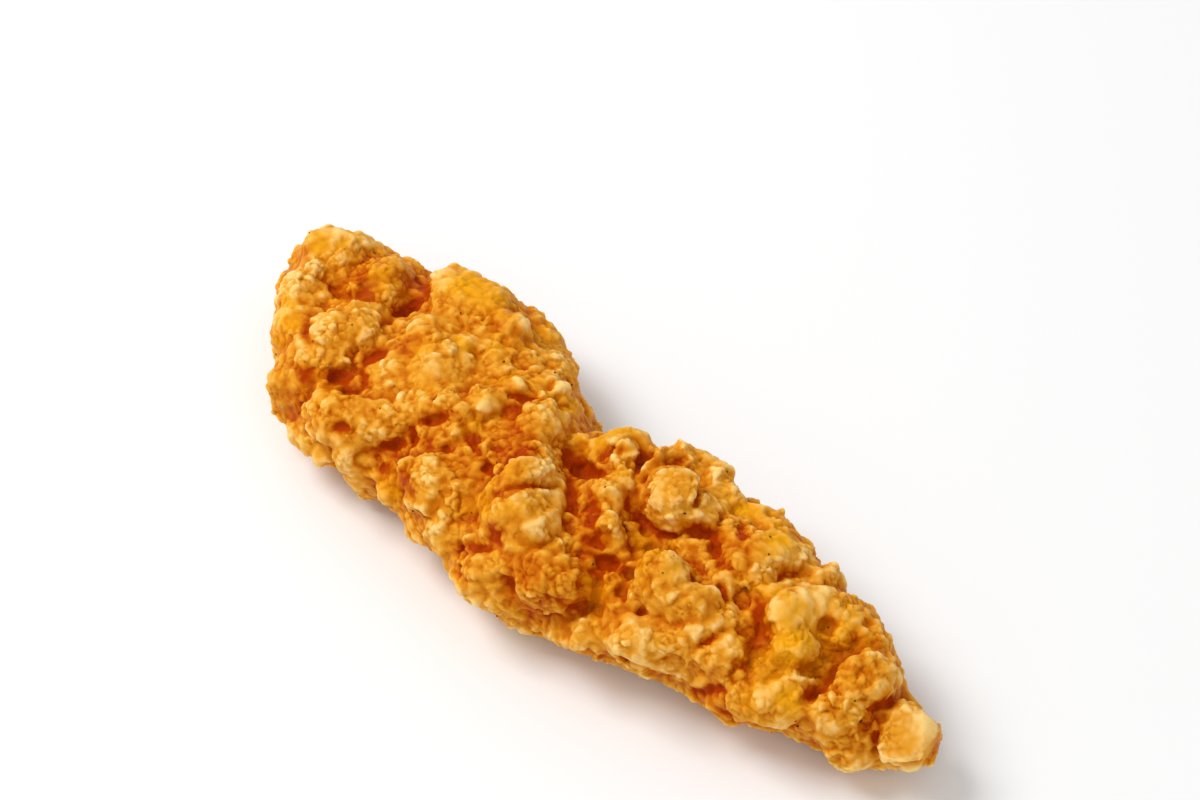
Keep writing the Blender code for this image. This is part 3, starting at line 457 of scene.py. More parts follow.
        (-36.1, 13.4, 20.2, 4, 3.1, 169, 1), (-27.6, 3.9, 21.1, 1.8, 1.2, 164, 0.8),
        (-24.1, 7.6, 19.9, 2.9, 1.6, 136, 0.5), (-14.6, -2.6, 22.3, 1.8, 1.7, 61, 0.6),
        (4.1, -14.5, 22.9, 3.7, 1.2, 46, 0.5), (5.1, -8.3, 20.9, 2.2, 1.5, 101, 0.4),
        (34.3, 10.5, 20.1, 3, 2.2, 100, 1), (34.7, 7.5, 20.7, 1.9, 1.5, 102, 0.5),
        (30.5, -14.6, 15.3, 3.7, 1.5, 52, 0.4), (44.2, 3.2, 19.8, 3.1, 2, 63, 0.9),
        (47.9, 0.1, 18.3, 2.8, 2.2, 63, 1), (51.4, -6, 14.2, 2.1, 1.7, 53, 0.5),
        (68.8, 4.5, 9.7, 3, 1.7, 26, 0.9), (56.5, 1.9, 16.6, 2.2, 1.3, 33, 0.4),
        (2.9, 8.4, 19.9, 4.7, 1.6, 58, 0.4), (24.7, 12, 19.1, 2.3, 1.5, 11, 0.4),
        (-34.1, 13.7, 20.4, 7.6, 3.8, 10, 0.7), (48.3, 3.3, 16.9, 6.1, 4.1, 129, 0.5),
    ),
    # brown patches: browner crust, partly painted shade
    "brown_and_shaded": (
        (-7.2, -4.5, 22.1, 9.4, 3.6, 124, 0.8), (-0.7, -14, 22.9, 8, 3.7, 139, 0.6),
        (5.3, -0.2, 20.1, 4, 2.9, 158, 0.6), (-17.7, -19.1, 16, 7.1, 3.2, 179, 0.6),
        (21.1, -5.3, 18.4, 5.3, 4.4, 141, 0.9), (31.2, 4.1, 21.6, 4.7, 3.9, 9, 0.7),
        (12.9, -17.9, 18.5, 4.6, 2.6, 47, 0.5), (19.8, -13.3, 17.6, 4.4, 3, 52, 0.6),
        (-44.3, -17.6, 13.7, 7.8, 2.8, 21, 0.6), (-33.4, -14.2, 19, 5.8, 2.9, 2, 0.5),
        (-48.4, 2.8, 20.7, 4.1, 3.4, 156, 0.7), (-29.6, -0.9, 22.1, 5, 2, 139, 0.5),
        (-29.8, 14, 19.9, 6.6, 4.7, 179, 0.4), (-17.6, -8.3, 21.4, 4.1, 2.3, 18, 0.4),
        (11.1, 7.7, 19.7, 4.5, 2.3, 137, 0.5), (54.1, 5.5, 16.9, 3, 2.8, 154, 0.5),
        (41.2, -9, 16.2, 2.7, 2.2, 56, 0.4), (14.3, -4.9, 21.4, 5, 2.3, 130, 0.4),
        (23.8, -5.6, 20.6, 6.2, 3.9, 154, 0.9), (33.9, -6.2, 20.1, 3.3, 2.7, 62, 0.6),
        (25.3, 1.8, 19.6, 3.7, 1.9, 37, 0.5), (4.6, -0.6, 19.8, 5.5, 2.7, 142, 0.6),
        (41.5, 1.9, 20.1, 3, 2.6, 147, 0.4), (-16.4, 1, 22.4, 4.6, 3.5, 56, 0.4),
        (67.1, 5.7, 11.8, 3.5, 2.1, 53, 0.4), (42.1, -11.1, 7.9, 5.6, 3.4, 14, 0.6),
        (-47.8, -12, 18.6, 4.4, 3.1, 175, 0.3), (52.9, 4.8, 16.4, 3.5, 3.1, 162, 0.4),
        (13.9, -18.8, 16.6, 5, 3.3, 83, 0.4), (-0.6, -12, 23.6, 5.8, 3.3, 2, 0.6),
        (4.6, -0.6, 19.8, 5.1, 3.7, 176, 0.8), (1.9, -22.2, 13.5, 4.9, 3.1, 31, 0.5),
        (26.3, -14.6, 16.1, 4.3, 2.9, 1, 0.4), (44.8, -10.3, 8.8, 5.3, 4.3, 7, 0.5),
        (-35.1, -13.8, 18.4, 6.3, 4.1, 7, 0.5), (20.1, -18.5, 8.4, 5.6, 3.4, 7, 0.5),
        (-31.4, -20.3, 15.7, 4.4, 2.8, 50, 0.4), (11.2, -18.3, 18.5, 4.7, 3.7, 21, 0.8),
        (20.4, -12.9, 17.4, 3.4, 2.9, 139, 0.8), (-29.6, -0.9, 22.1, 5, 3.7, 12, 0.7),
        (-48.5, 4.1, 20.6, 4.9, 3.5, 140, 0.7), (-51.6, -12.1, 16.8, 5.6, 2.4, 8, 0.7),
        (54.1, 4.4, 16.7, 3.6, 2.7, 75, 0.8), (-17.1, -19.8, 13.6, 5.4, 3.3, 24, 0.7),
        (68.1, 6.7, 8.4, 4.9, 2.7, 53, 0.9), (21.2, -3.4, 18.1, 3.8, 3.6, 109, 0.7),
        (-1, -11.7, 23.6, 5, 3, 178, 0.8), (-28.4, 12.7, 20.3, 5.2, 3.1, 156, 0.6),
        (45.5, -10, 9.3, 4.7, 4.2, 171, 0.8), (44.4, -3, 16.7, 2.9, 2.3, 34, 0.4),
    ),
}

# %% [markdown]
# The solid was drawn with a simpler outline than the piece has. Here its skin is pushed out
# or, where the last number is negative, in: a place, half a length and half a width, the
# turn, and the push in mm.

# %% Swells and hollows, in mm and degrees
SWELLS = (
    (40.6, 14.7, 14.9, 7.8, 4.4, 68, 1.3),
    (49.1, 13.6, 13.3, 5.7, 4.2, 40, 1.6),
    (-30.7, 20.1, 14.8, 13.4, 9, 130, 0.7),
    (-18.8, 18.4, 11.5, 5.6, 3.6, 64, 1.4),
    (8.1, -19.2, 6, 14.5, 8.7, 35, 1.5),
    (-67.7, 4.1, 12, 5.6, 3.7, 159, 1.2),
    (-48, -17.5, 9.6, 7.8, 4.9, 165, 0.9),
    (45.1, -9.5, 7.3, 6.7, 4.2, 31, 1.2),
    (60.8, -2.8, 4.9, 5.6, 3.6, 21, 1),
    (-34, -21.7, 6.8, 10, 6.5, 32, -1.5),
    (-19.3, -21.2, 8.7, 6.7, 4.4, 82, -1.6),
    (-3.6, 11.3, 17.2, 6.2, 3, 103, -2.6),
    (22.7, 15.9, 18.6, 6.7, 4.4, 106, -1),
    (30.5, -15, 7.8, 4.9, 3.1, 19, -1),
    (51, -7.7, 4.3, 3.3, 3, 177, -1.6),
    (63.1, 10.3, 10.3, 4.9, 3, 75, -2.6),
    (11.6, 10.5, 19, 9, 3, 86, 3.2),
    (48.8, -6.2, 0.8, 2.4, 2.4, 0, -3),
)

# %% Places on the skin


def seats_of(table):
    """The places on the base that are nearest to the table's, with their outward directions."""
    nearest = [base_tree.find(place)[1] for place in table[:, :3] * MM]
    return base[nearest], outward[nearest]


def axes_at(out, turns):
    """For each seat, three axes as rows: its length, its width and straight out."""
    along = unit(np.cross((0, 1, 0), out))
    across = np.cross(out, along)
    angles = np.radians(turns)[:, None]
    length = np.cos(angles) * along + np.sin(angles) * across
    return np.stack([length, np.cross(out, length), out], axis=1)


# %% Patches of the skin
PATCH_DEPTH = 4 * MM  # how far over and under its place a patch still counts


def patches_of(rows):
    """For each patch, its seat, its axes, its half sizes and its strength."""
    table = np.array(rows, float)
    seats, out = seats_of(table)
    axes = axes_at(out, table[:, 5])
    sizes = np.column_stack([table[:, 3:5] * MM, np.full(len(table), PATCH_DEPTH)])
    return list(zip(seats, axes, sizes, table[:, 6]))


def distance_from(places, seat, axes, sizes):
    """How far each place is from the middle of a patch, which has its edge at 1."""
    return np.linalg.norm((places - seat) @ axes.T / sizes, axis=1)


# %% Pushing the skin out and in
push = np.zeros(len(base))
for seat, axes, sizes, most in patches_of(SWELLS):
    push += most * MM * np.exp(-(distance_from(base, seat, axes, sizes) ** 2))
base += push[:, None] * outward
base_tree = tree_of(base)
print("skin pushed by", (push.min() / MM).round(2), "to", (push.max() / MM).round(2), "mm")

# %% How strongly a place lies in the patches
FADE = 0.7  # how fast a patch fades past its edge
COUNTED = 0.3  # the strength from which a place counts as covered in what is printed


def strength_at(places, rows):
    """How strongly each place lies in any of these patches, 0 to 1."""
    most = np.zeros(len(places))
    for seat, axes, sizes, strength in rows:
        away = distance_from(places, seat, axes, sizes)
        most = np.maximum(most, strength * np.exp(-FADE * away**3))
    return most


patches = {name: patches_of(rows) for name, rows in PATCHES.items()}
for name, rows in patches.items():
    covered = (strength_at(base, rows) > COUNTED).mean()
    print(name, "patches:", len(rows), "over", round(100 * covered, 1), "% of the base")

# %% [markdown]
# ## Heights over the base
#
# Batter dries as clumps that ran together, not as separate balls. So the crust is a field of
# heights: each place on the base gets one number, which says how far it is raised. A named
# crag is a flat top with steep sides. Its outline is looked up at a place shifted by noise,
# which makes it ragged, and then partly at the middle of that place's nugget, so that a crag
# gains or loses whole nuggets at its edge. Where two crags meet the higher one counts, which
# leaves a crease between them.

# %% Shifting places by noise
NOISE_SEED = 1  # without one, the noise starts from the clock and no two runs agree
DRAW_SEED = 11
START_RANGE = 50  # the noise is read from a start up to this many waves away
RAGGED = ((4.0 * MM, 0.5 * MM), (1.7 * MM, 0.7 * MM))  # how wide the waves are, how far they reach

noise.seed_set(NOISE_SEED)
draw = np.random.default_rng(DRAW_SEED)


def shifted(places, size, reach):
    """Places moved by smooth noise with waves of this size, by about this much."""
    start = Vector(draw.uniform(-START_RANGE, START_RANGE, 3))
    moves = [noise.noise_vector(Vector(place) + start) for place in places / size]
    return places + reach * np.array(moves)


ragged = base
for size, reach in RAGGED:
    ragged = shifted(ragged, size, reach)

# %% Nuggets
# Space is divided into cells, each round one middle. A place is high near the middle of its
# cell and low where two cells meet.
NUGGET_SIZE = 2.4 * MM
CELL_SLOPE = 0.75  # a flat top starts this much nearer to its middle than to the next, in cells
SCRAMBLE = (12.99, 78.23, 37.72)  # these turn a cell's middle into a chance number
SCRAMBLE_MORE = 43758.5


def cells_at(places, size):
    """How high each place is in its rounded cell, 0 to 1, and the cell's chance and middle."""
    found = [noise.voronoi(Vector(place)) for place in places / size]
    to_next = np.array([distances[1] - distances[0] for distances, _ in found])
    middles = np.array([points[0] for _, points in found])
    chance = np.sin(middles @ SCRAMBLE) * SCRAMBLE_MORE % 1
    inside = (to_next / CELL_SLOPE).clip(0, 1)
    return np.sqrt(inside * (2 - inside)), chance, middles * size


nugget, nugget_chance, nugget_middles = cells_at(ragged, NUGGET_SIZE)


def by_nuggets(share):
    """Places moved towards the middle of their nugget by this share of the way."""
    return ragged + share * (nugget_middles - ragged)


# %% The kinds of crags
# How square a kind's outline is, and how flat its top: 2 is round for both
KINDS = {
    "crag": (2.6, 5.0),
    "lump": (2.4, 3.6),
    "bead": (2.0, 2.2),
    "flake": (3.0, 6.0),
    "block": (5.0, 9.0),
}
WHOLE_NUGGETS = {"crag": 0.85, "lump": 0.5, "bead": 0.0, "flake": 0.4, "block": 0.0}
RISE_SHARE = 0.45  # of a crag's rise: the base's own swellings make up the rest
NAMED_LIFT = 0.6 * MM
SPREAD = 1.22  # of a crag's length and width: the noise and the rounding take some off
TILT = 0.18  # a top leans by up to this share of its rise each way
FURTHEST = 1.5  # times its longer half size: nothing of a crag lies further from its seat

# %% Named crags
named_heights = np.zeros(len(base))
named_seats = []
named_sizes = []
named_kinds = []
for kind, rows in NAMED.items():
    corner, flat = KINDS[kind]
    table = np.array(rows, float)
    seats, out = seats_of(table)
    axes = axes_at(out, table[:, 6])
    sizes = table[:, 3:5] * SPREAD * MM
    rises = table[:, 5] * RISE_SHARE * MM + NAMED_LIFT
    tilts = draw.uniform(-TILT, TILT, (len(table), 2))
    looked_up = by_nuggets(WHOLE_NUGGETS[kind])
    for seat, own_axes, size, rise, tilt in zip(seats, axes, sizes, rises, tilts):
        reach = FURTHEST * size.max()
        near = np.flatnonzero(np.linalg.norm(looked_up - seat, axis=1) < reach)
        away = ((looked_up[near] - seat) @ own_axes.T)[:, :2] / size
        edge = (abs(away) ** corner).sum(axis=1) ** (1 / corner)
        top = rise * (1 + away @ tilt) * np.sqrt(1 - edge.clip(0, 1) ** flat)
        named_heights[near] = np.maximum(named_heights[near], top)
    named_seats.append(seats)
    named_sizes.append(np.sqrt(table[:, 3] * table[:, 4]) * MM)
    named_kinds += [kind] * len(table)
named_seats = np.concatenate(named_seats)
named_sizes = np.concatenate(named_sizes)
named_tree = tree_of(named_seats)
covered = round(100 * (named_heights > 0).mean())
print("named crags:", len(named_seats), "over", covered, "% of the base")

# %% [markdown]
# ## The rest of the crags
#
# Everywhere else cells stand in for them, in the same way as for the nuggets, but larger.
# Each cell has its own chance number, so that some rise more than others. On the sides that
# the photo doesn't show there are no named crags, so cells as large as those stand in there.

# %% Filling cells
FILL_SIZE, FILL_RISE = 3.0 * MM, 1.5 * MM
FILL_NUGGETS = 0.7  # how far a filling cell's edge follows whole nuggets
LEAST_FILL = 0.25  # the lowest cell's rise, as a share of the highest's
CREASE = 0.4  # how far the ground drops where two filling cells meet, as a share
SEEN_RISE = 0.75  # of a filling cell where the photo shows what is there, as a share

TOWARDS_VIEW = np.array((0.46, -0.45, 0.77))
OUT_OF_SIGHT = -0.05  # a side that looks towards the camera by less than this isn't shown
SIGHT_FADE = 0.3  # how much further it has to turn to count as wholly unseen

unseen = ((OUT_OF_SIGHT - outward @ TOWARDS_VIEW) / SIGHT_FADE).clip(0, 1)
cell, chance, _ = cells_at(by_nuggets(FILL_NUGGETS), FILL_SIZE)
fill = FILL_RISE * (LEAST_FILL + (1 - LEAST_FILL) * chance - CREASE * (1 - cell)).clip(0)
fill *= SEEN_RISE + (1 - SEEN_RISE) * unseen

# %% Larger cells where nothing is seen
FAR_SIZE, FAR_RISE = 6.5 * MM, 2.2 * MM
FAR_BARE = 0.35  # the share of these cells that stay flat
LEAST_FAR = 0.4  # the lowest cell's rise, as a share of the highest's
LOW_RISE = 0.3  # what is left of a rise at the floor, as a share
LOW_TOP = 7 * MM  # from this height up a rise is whole

cell, chance, _ = cells_at(ragged, FAR_SIZE)
far = FAR_RISE * cell * (chance > FAR_BARE) * (LEAST_FAR + (1 - LEAST_FAR) * chance) * unseen
lying = LOW_RISE + (1 - LOW_RISE) * (base[:, 2] / LOW_TOP).clip(0, 1)

# %% How knobbly each kind is
KNOBBLY = {"crag": 1.0, "lump": 0.8, "bead": 0.5, "flake": 0.7, "block": 0.25}
BASE_KNOBBLY = 0.9
KNOBBLY_PASSING = 4  # rounds of smoothing where one kind passes into another
STILL_ON = 1.2  # times its mean half size: a place this near a named crag's seat is on it


def by_nearest_named(places, numbers, otherwise):
    """The number of the named crag that a place is on, or else one for all other places."""
    found = [named_tree.find(place) for place in places]
    own = np.array([numbers[index] for _, index, _ in found])
    near = np.array([distance < named_sizes[index] * STILL_ON for _, index, distance in found])
    return np.where(near, own, otherwise)


kind_knobbly = [KNOBBLY[kind] for kind in named_kinds]
knobbly = by_nearest_named(base, kind_knobbly, BASE_KNOBBLY)
knobbly = smoothed(knobbly, base_edges, KNOBBLY_PASSING)

# %% Raising them all
BLEND = 0.15 * MM  # how widely one height passes into the next
NUGGET_RISE = 1.2 * MM
LEAST_NUGGET = 0.5  # the lowest nugget's rise, as a share of the highest's
NUGGET_SUNK = 0.6  # of a nugget's rise: how deep the creases between nuggets are
GAP_SUNK = 1.7 * MM


def blended_highest(*heights):
    """The highest of several heights, rounded off where they cross."""
    return BLEND * np.log(sum(np.exp(height / BLEND) for height in heights) - len(heights) + 1)


heights = blended_highest(named_heights, fill * lying, far * lying)
nugget_share = LEAST_NUGGET + (1 - LEAST_NUGGET) * nugget_chance
heights += NUGGET_RISE * knobbly * (nugget * nugget_share - NUGGET_SUNK)
heights -= GAP_SUNK * strength_at(base, patches["deep"])
print("heights, mm:", np.percentile(heights / MM, SHOWN).round(2))
move_to(crust.data, base + heights[:, None] * outward)

# %% [markdown]
# The sides of the crags have been stretched, so the mesh is made even again. Folds could
# leave sealed bubbles inside. They are found by giving every vertex the lowest number that
# it is joined to, and all but the largest set go.

# %% Even faces again
CRUST_STEP = 0.31 * MM

remesh(crust, CRUST_STEP)
print("crust:", len(crust.data.polygons), "faces")

# %% Taking sealed bubbles out


def joined_numbers(count, edges):
    """For each vertex, one number shared by all that are joined to it."""
    numbers = np.arange(count)
    while True:
        lowest = np.minimum(numbers[edges[:, 0]], numbers[edges[:, 1]])
        before = numbers.copy()
        np.minimum.at(numbers, numbers[edges[:, 0]], lowest)
        np.minimum.at(numbers, numbers[edges[:, 1]], lowest)
        numbers = numbers[numbers]
        if (numbers == before).all():
            return numbers


def keep_largest(mesh):
    numbers = joined_numbers(len(mesh.vertices), edges_of(mesh))
    main = np.bincount(numbers).argmax()
    shape = bmesh.new()
    shape.from_mesh(mesh)
    shape.verts.ensure_lookup_table()
    scraps = [shape.verts[index] for index in np.flatnonzero(numbers != main)]
    bmesh.ops.delete(shape, geom=scraps, context="VERTS")
    shape.to_mesh(mesh)
    shape.free()
    return len(scraps)


print("vertices in sealed bubbles:", keep_largest(crust.data))

# %% [markdown]
# ## Softer hollows
#
# Batter runs into narrow places before it sets, so its hollows are rounder than its ridges.
# Rubbing the whole mesh smooth would blunt both. So a copy is rubbed, and only the places
# that lie under it are moved to it.

# %% Rounding the hollows
SOFTENED = 1  # rounds on the whole mesh, which take off the steps of the remeshing
ROUNDED = 4  # rounds on the copy
FILLET = 0.35 * MM  # a place this far under the copy is moved all the way to it
FILLET_PASSING = 3  # rounds on that share, so that it changes slowly

crust_edges = edges_of(crust.data)
crust_places = smoothed(places_of(crust.data), crust_edges, SOFTENED)
move_to(crust.data, crust_places)
rounded = smoothed(crust_places, crust_edges, ROUNDED)
depth = ((rounded - crust_places) * outward_of(crust.data)).sum(axis=1)
share = smoothed((depth / FILLET).clip(0, 1), crust_edges, FILLET_PASSING)
crust_places += share[:, None] * (rounded - crust_places)
print("deepest hollow filled, mm:", (depth.max() / MM).round(2))

# %% [markdown]
# ## The block at the tip
#
# The small piece at the tip has flat sides that meet at soft edges, as a lump of dry batter
# has where it broke. Noise doesn't give that. Each side is a plane instead, and what stands
# out past it is pressed back onto it.

# %% Pressing the block flat
BLOCK_REACH = (7 * MM, 8 * MM)  # from its seat: the whole press works here, and none of it there
BLOCK_SIDES = (  # which way each flat side looks, and how far out of the seat it is
    ((0.08, 0.88, 0.47), 3.2 * MM),
    ((0.98, 0.16, -0.07), 2.6 * MM),
    ((0.18, -0.53, 0.83), 1.2 * MM),
)
BLOCK_EDGE = 0.15 * MM  # how softly the sides meet

block_seat = np.array(NAMED["block"][0][:3]) * MM
away = np.linalg.norm(crust_places - block_seat, axis=1)
full, none = BLOCK_REACH
share = ((none - away) / (none - full)).clip(0, 1)
for side, out in BLOCK_SIDES:
    over = ((crust_places - block_seat) @ side - out).clip(0)
    pressed = share * (over - BLOCK_EDGE * (1 - np.exp(-over / BLOCK_EDGE)))
    crust_places -= pressed[:, None] * np.array(side)
    print("side", side, "pressed by up to", (pressed.max() / MM).round(2), "mm")
move_to(crust.data, crust_places)

# %% [markdown]
# ## Fine relief
#
# The nuggets themselves are knobbly. Small domes that meet in creases are pushed out along
# the normals, more in some places than in others, because a crust is never evenly rough.

# %% Lobes
LOBES = ((1.45 * MM, 0.42 * MM), (0.85 * MM, 0.13 * MM))  # how wide, and how far they rise
LOBE_RAGGED = 0.2  # of a lobe's width: how far noise shifts its edge
LEAST_LOBE = 0.5  # the lowest lobe's rise, as a share of the highest's
LOBE_SUNK = 0.5  # of a lobe's rise: how deep the creases between lobes are
LOBES_PASSING = 6  # rounds of smoothing where one kind passes into another
ROUGH_SIZE = 3.5 * MM  # of the waves by which the roughness comes and goes
ROUGH_MEAN, ROUGH_SWING = 1.1, 1.6
ROUGH_RANGE = (0.35, 1.7)

knobbly = by_nearest_named(crust_places, kind_knobbly, BASE_KNOBBLY)
knobbly = smoothed(knobbly, crust_edges, LOBES_PASSING)
waves = np.array([noise.noise(Vector(place)) for place in crust_places / ROUGH_SIZE])
knobbly *= (ROUGH_MEAN + ROUGH_SWING * waves).clip(*ROUGH_RANGE)
for size, rise in LOBES:
    cell, chance, _ = cells_at(shifted(crust_places, size, LOBE_RAGGED * size), size)
    push = rise * knobbly * ((LEAST_LOBE + (1 - LEAST_LOBE) * chance) * cell - LOBE_SUNK)
    crust_places += push[:, None] * outward_of(crust.data)
    move_to(crust.data, crust_places)

# %% [markdown]
# The mesh is then thinned to stay light, which takes faces where it is flat. The underside
# is seldom seen, so most of its faces go first.

# %% Thinning
MOST_TRIANGLES = 194000
UNDER_KEPT = 0.25  # share of the faces left on the underside
LOOKS_DOWN = -0.25  # a normal with a lower Z than this is on the underside


def thin_out(made, triangles, group=None):
    """Takes faces away, only from the vertices of the group if one is given."""
    fewer = made.modifiers.new("fewer faces", "DECIMATE")
    fewer.ratio = min(triangles / triangle_count(made.data), 1.0)
    if group is not None:
        fewer.vertex_group = group.name
    bake_modifiers(made)


under = np.flatnonzero(outward_of(crust.data)[:, 2] < LOOKS_DOWN)
group = crust.vertex_groups.new(name="under")
group.add(under.tolist(), 1.0, "REPLACE")
total = triangle_count(crust.data)
thin_out(crust, total * (1 - (1 - UNDER_KEPT) * len(under) / len(crust.data.vertices)), group)
crust.vertex_groups.clear()
print("thinned underneath:", total, "to", triangle_count(crust.data), "triangles")
thin_out(crust, MOST_TRIANGLES)

# %% A closed mesh again


def drop_fins(mesh):
    """Takes away the odd face that thinning leaves hanging on by one edge."""
    shape = bmesh.new()
    shape.from_mesh(mesh)
    fins = [face for face in shape.faces if any(edge.is_boundary for edge in face.edges)]
    bmesh.ops.delete(shape, geom=fins, context="FACES")
    still_open = sum(not edge.is_manifold for edge in shape.edges)
    shape.to_mesh(mesh)
    shape.free()
    return len(fins), still_open


print("fins dropped, and edges still open:", drop_fins(crust.data))
crust.data.shade_smooth()
print("thinned:", triangle_count(crust.data), "triangles")

# %% [markdown]
# ## Resting on the floor
#
# The crags on the underside would poke through the floor, so what is below it is pressed
# flat, as soft crust is where the piece lies. At the top, crags that would stand out over the
# solid are pressed together under a soft lid, so that the piece stays as high as the solid.

# %% Pressing the underside flat and the top down
LID_START = 1.0 * MM  # under the solid's top: from here up, rises are pressed together
LID_ROOM = 0.6 * MM  # over the solid's top, which nothing passes

places = places_of(crust.data)
start, room = solid_high[2] - LID_START, LID_START + LID_ROOM
over = (places[:, 2] - start).clip(0)
places[:, 2] = np.minimum(places[:, 2], start) + room * (1 - np.exp(-over / room))
places[:, 2] = places[:, 2].clip(0)
move_to(crust.data, places)
print("highest crag, mm:", (places[:, 2].max() / MM).round(2))

# %% [markdown]
# ## What the colours follow
#
# Crust browns unevenly: what stands out is pale gold, and the gaps, which stay oily, are a
# deep orange. The colours carry painted light and shade too: crests are paler where light
# falls on them, and crevices darker where shade falls in them. Each vertex gets numbers for
# this, which the material reads as attributes. Two say how far it stands out of its
# surroundings, near and wide, so they tell a crest from a crevice. One is a chance number for
# each named crag, as no two crags brown alike. The others say how strongly the vertex lies in
# the patches: the pale ones are partly painted light, the brown ones and the deep gaps partly
# painted shade.

# %% Numbers for the colours
CREST_ROUNDS = {"crest_wide": 60, "crest_fine": 8}  # more rounds make wider surroundings
EVEN_CHANCE = 0.5  # where there is no named crag
CHANCE_PASSING = 2  # rounds of smoothing where one crag passes into another

crust_places = places_of(crust.data)
crust_edges = edges_of(crust.data)
crust_out = outward_of(crust.data)


def crest(rounds):
    """How far each vertex stands out of its surroundings, along its own normal, in mm."""
    away = crust_places - smoothed(crust_places, crust_edges, rounds)
    return (away * crust_out).sum(axis=1) / MM


def set_number(mesh, name, values):
    layer = mesh.attributes.new(name, "FLOAT", "POINT")
    layer.data.foreach_set("value", values.astype(np.float32))


chance = by_nearest_named(crust_places, draw.random(len(named_seats)), EVEN_CHANCE)
for name, rounds in CREST_ROUNDS.items():
    values = crest(rounds)
    set_number(crust.data, name, values)
    print(name, "mm:", np.percentile(values, SHOWN).round(2))
set_number(crust.data, "chance", smoothed(chance, crust_edges, CHANCE_PASSING))
for name, rows in patches.items():
    set_number(crust.data, name, strength_at(crust_places, rows))

# %% [markdown]
# ## Materials
#
# Shader maths reads best as sums. A small class wraps a node's output, so that writing
# `1 - mask` adds the Math node that works it out.

# %% Nodes as sums


class Number:
    """A number that varies over a surface: the output of some node."""

    def __init__(self, finish, socket):
        self.finish = finish
        self.socket = socket

    def with_maths(self, operation, *values):
        return self.finish.node("ShaderNodeMath", {"operation": operation}, dict(enumerate(values)))

    def __add__(self, other):
        return self.with_maths("ADD", self, other)

    def __sub__(self, other):
        return self.with_maths("SUBTRACT", self, other)

    def __mul__(self, other):
        return self.with_maths("MULTIPLY", self, other)

    def __rsub__(self, other):
        return self.with_maths("SUBTRACT", other, self)

    __radd__ = __add__
    __rmul__ = __mul__

    def between(self, low, high):
        """0 at low and under, 1 at high and over, smooth in between."""
        settings = {"interpolation_type": "SMOOTHSTEP"}
        return self.finish.node("ShaderNodeMapRange", settings, {0: self, 1: low, 2: high})


# %% A finish


class Finish:
    """A material, with one way to add any node."""

    def __init__(self, name):
        self.material = bpy.data.materials.new(name)
        self.material.use_nodes = True
        self.tree = self.material.node_tree
        self.shader = self.tree.nodes["Principled BSDF"]

    def node(self, kind, settings=None, values=None, out=0):
        made = self.tree.nodes.new(kind)
        for setting, value in (settings or {}).items():
            setattr(made, setting, value)
        for place, value in (values or {}).items():
            self.fill(made.inputs[place], value)
        return Number(self, made.outputs[out])

    def fill(self, socket, value):
        if isinstance(value, Number):
            self.tree.links.new(value.socket, socket)
        else:
            socket.default_value = value

    def set(self, **values):
        """Fills the shader's sockets; an underscore stands for a space in a socket's name."""
        for place, value in values.items():
            self.fill(self.shader.inputs[place.replace("_", " ")], value)

    def mix(self, share, first, second):
        """A colour that passes from the first to the second as the share goes from 0 to 1."""
        values = {0: share, 6: first, 7: second}
        return self.node("ShaderNodeMix", {"data_type": "RGBA"}, values, out=2)

    def attribute(self, name):
        return self.node("ShaderNodeAttribute", {"attribute_name": name}, out=2)

    def place(self):
        """Where a point is on the object."""
        return self.node("ShaderNodeTexCoord", out=3)

    def noise(self, size, detail=3.0, roughness=0.55, seed=0.0):
        """Noise with features of this size in metres."""
        values = {"Vector": self.place(), "W": seed, "Scale": 1 / size, "Detail": detail}
        values["Roughness"] = roughness
        return self.node("ShaderNodeTexNoise", {"noise_dimensions": "4D"}, values)

    def cells(self, size):
        """Distance to the middle of the nearest cell of this size in metres."""
        values = {"Vector": self.place(), "Scale": 1 / size}
        return self.node("ShaderNodeTexVoronoi", values=values)


def shade(red, green, blue):
    """A colour as a screen shows it, 0 to 255, made the linear light that a shader takes."""
    shares = [value / 255 for value in (red, green, blue)]
    linear = [s / 12.92 if s <= 0.04045 else ((s + 0.055) / 1.055) ** 2.4 for s in shares]
    return (*linear, 1.0)


# %% [markdown]
# ## The crust's finish
#
# Fried flour is pale where it stands out and dry, and orange where oil stays in it. A painted
# picture could show that, but would have to be laid on the shape again after each change.
# Here the colour follows the shape's own numbers. They are added up as one tone, and the tone
# picks the colour, from deep orange to a pale cream. The tone also holds painted light and
# shade: it is lighter on crests and darker in crevices, between pebbles and in the deep gaps,
# so the colour is paler where light falls and deeper where shade falls.

# %% Colours of the crust
# The deepest colour is deep orange with painted shade in it, for crevices and gaps; the palest is
# cream with painted light on it, for crests and the pale patches.
SHADED_DEEP = shade(168, 55, 0)
ORANGE = shade(198, 108, 7)
GOLD = shade(223, 153, 39)
YELLOW = shade(234, 164, 12)
LIT_PALE = shade(246, 206, 128)

# %% The crust's tone
# Crests lighten the tone and crevices darken it: painted light and painted shade, besides the
# crust's own browning. Pebbles darken it between them: painted shade in their creases.
WIDE_CREST, FINE_CREST = 1.3, 0.6  # how much a mm over the surroundings lightens the tone
MOTTLED, PEBBLE_SHADE, BY_CRAG = 0.7, 0.3, 0.2  # how much noise, pebbles and a crag's chance count
# The pale patches paint light; the brown patches and the deep gaps paint shade.
PALE_AND_LIT_WEIGHT, BROWN_AND_SHADED_WEIGHT, SHADED_GAP_WEIGHT = 0.7, 0.75, 1.4  # how much the patches count
PEBBLE_MEAN = 0.45

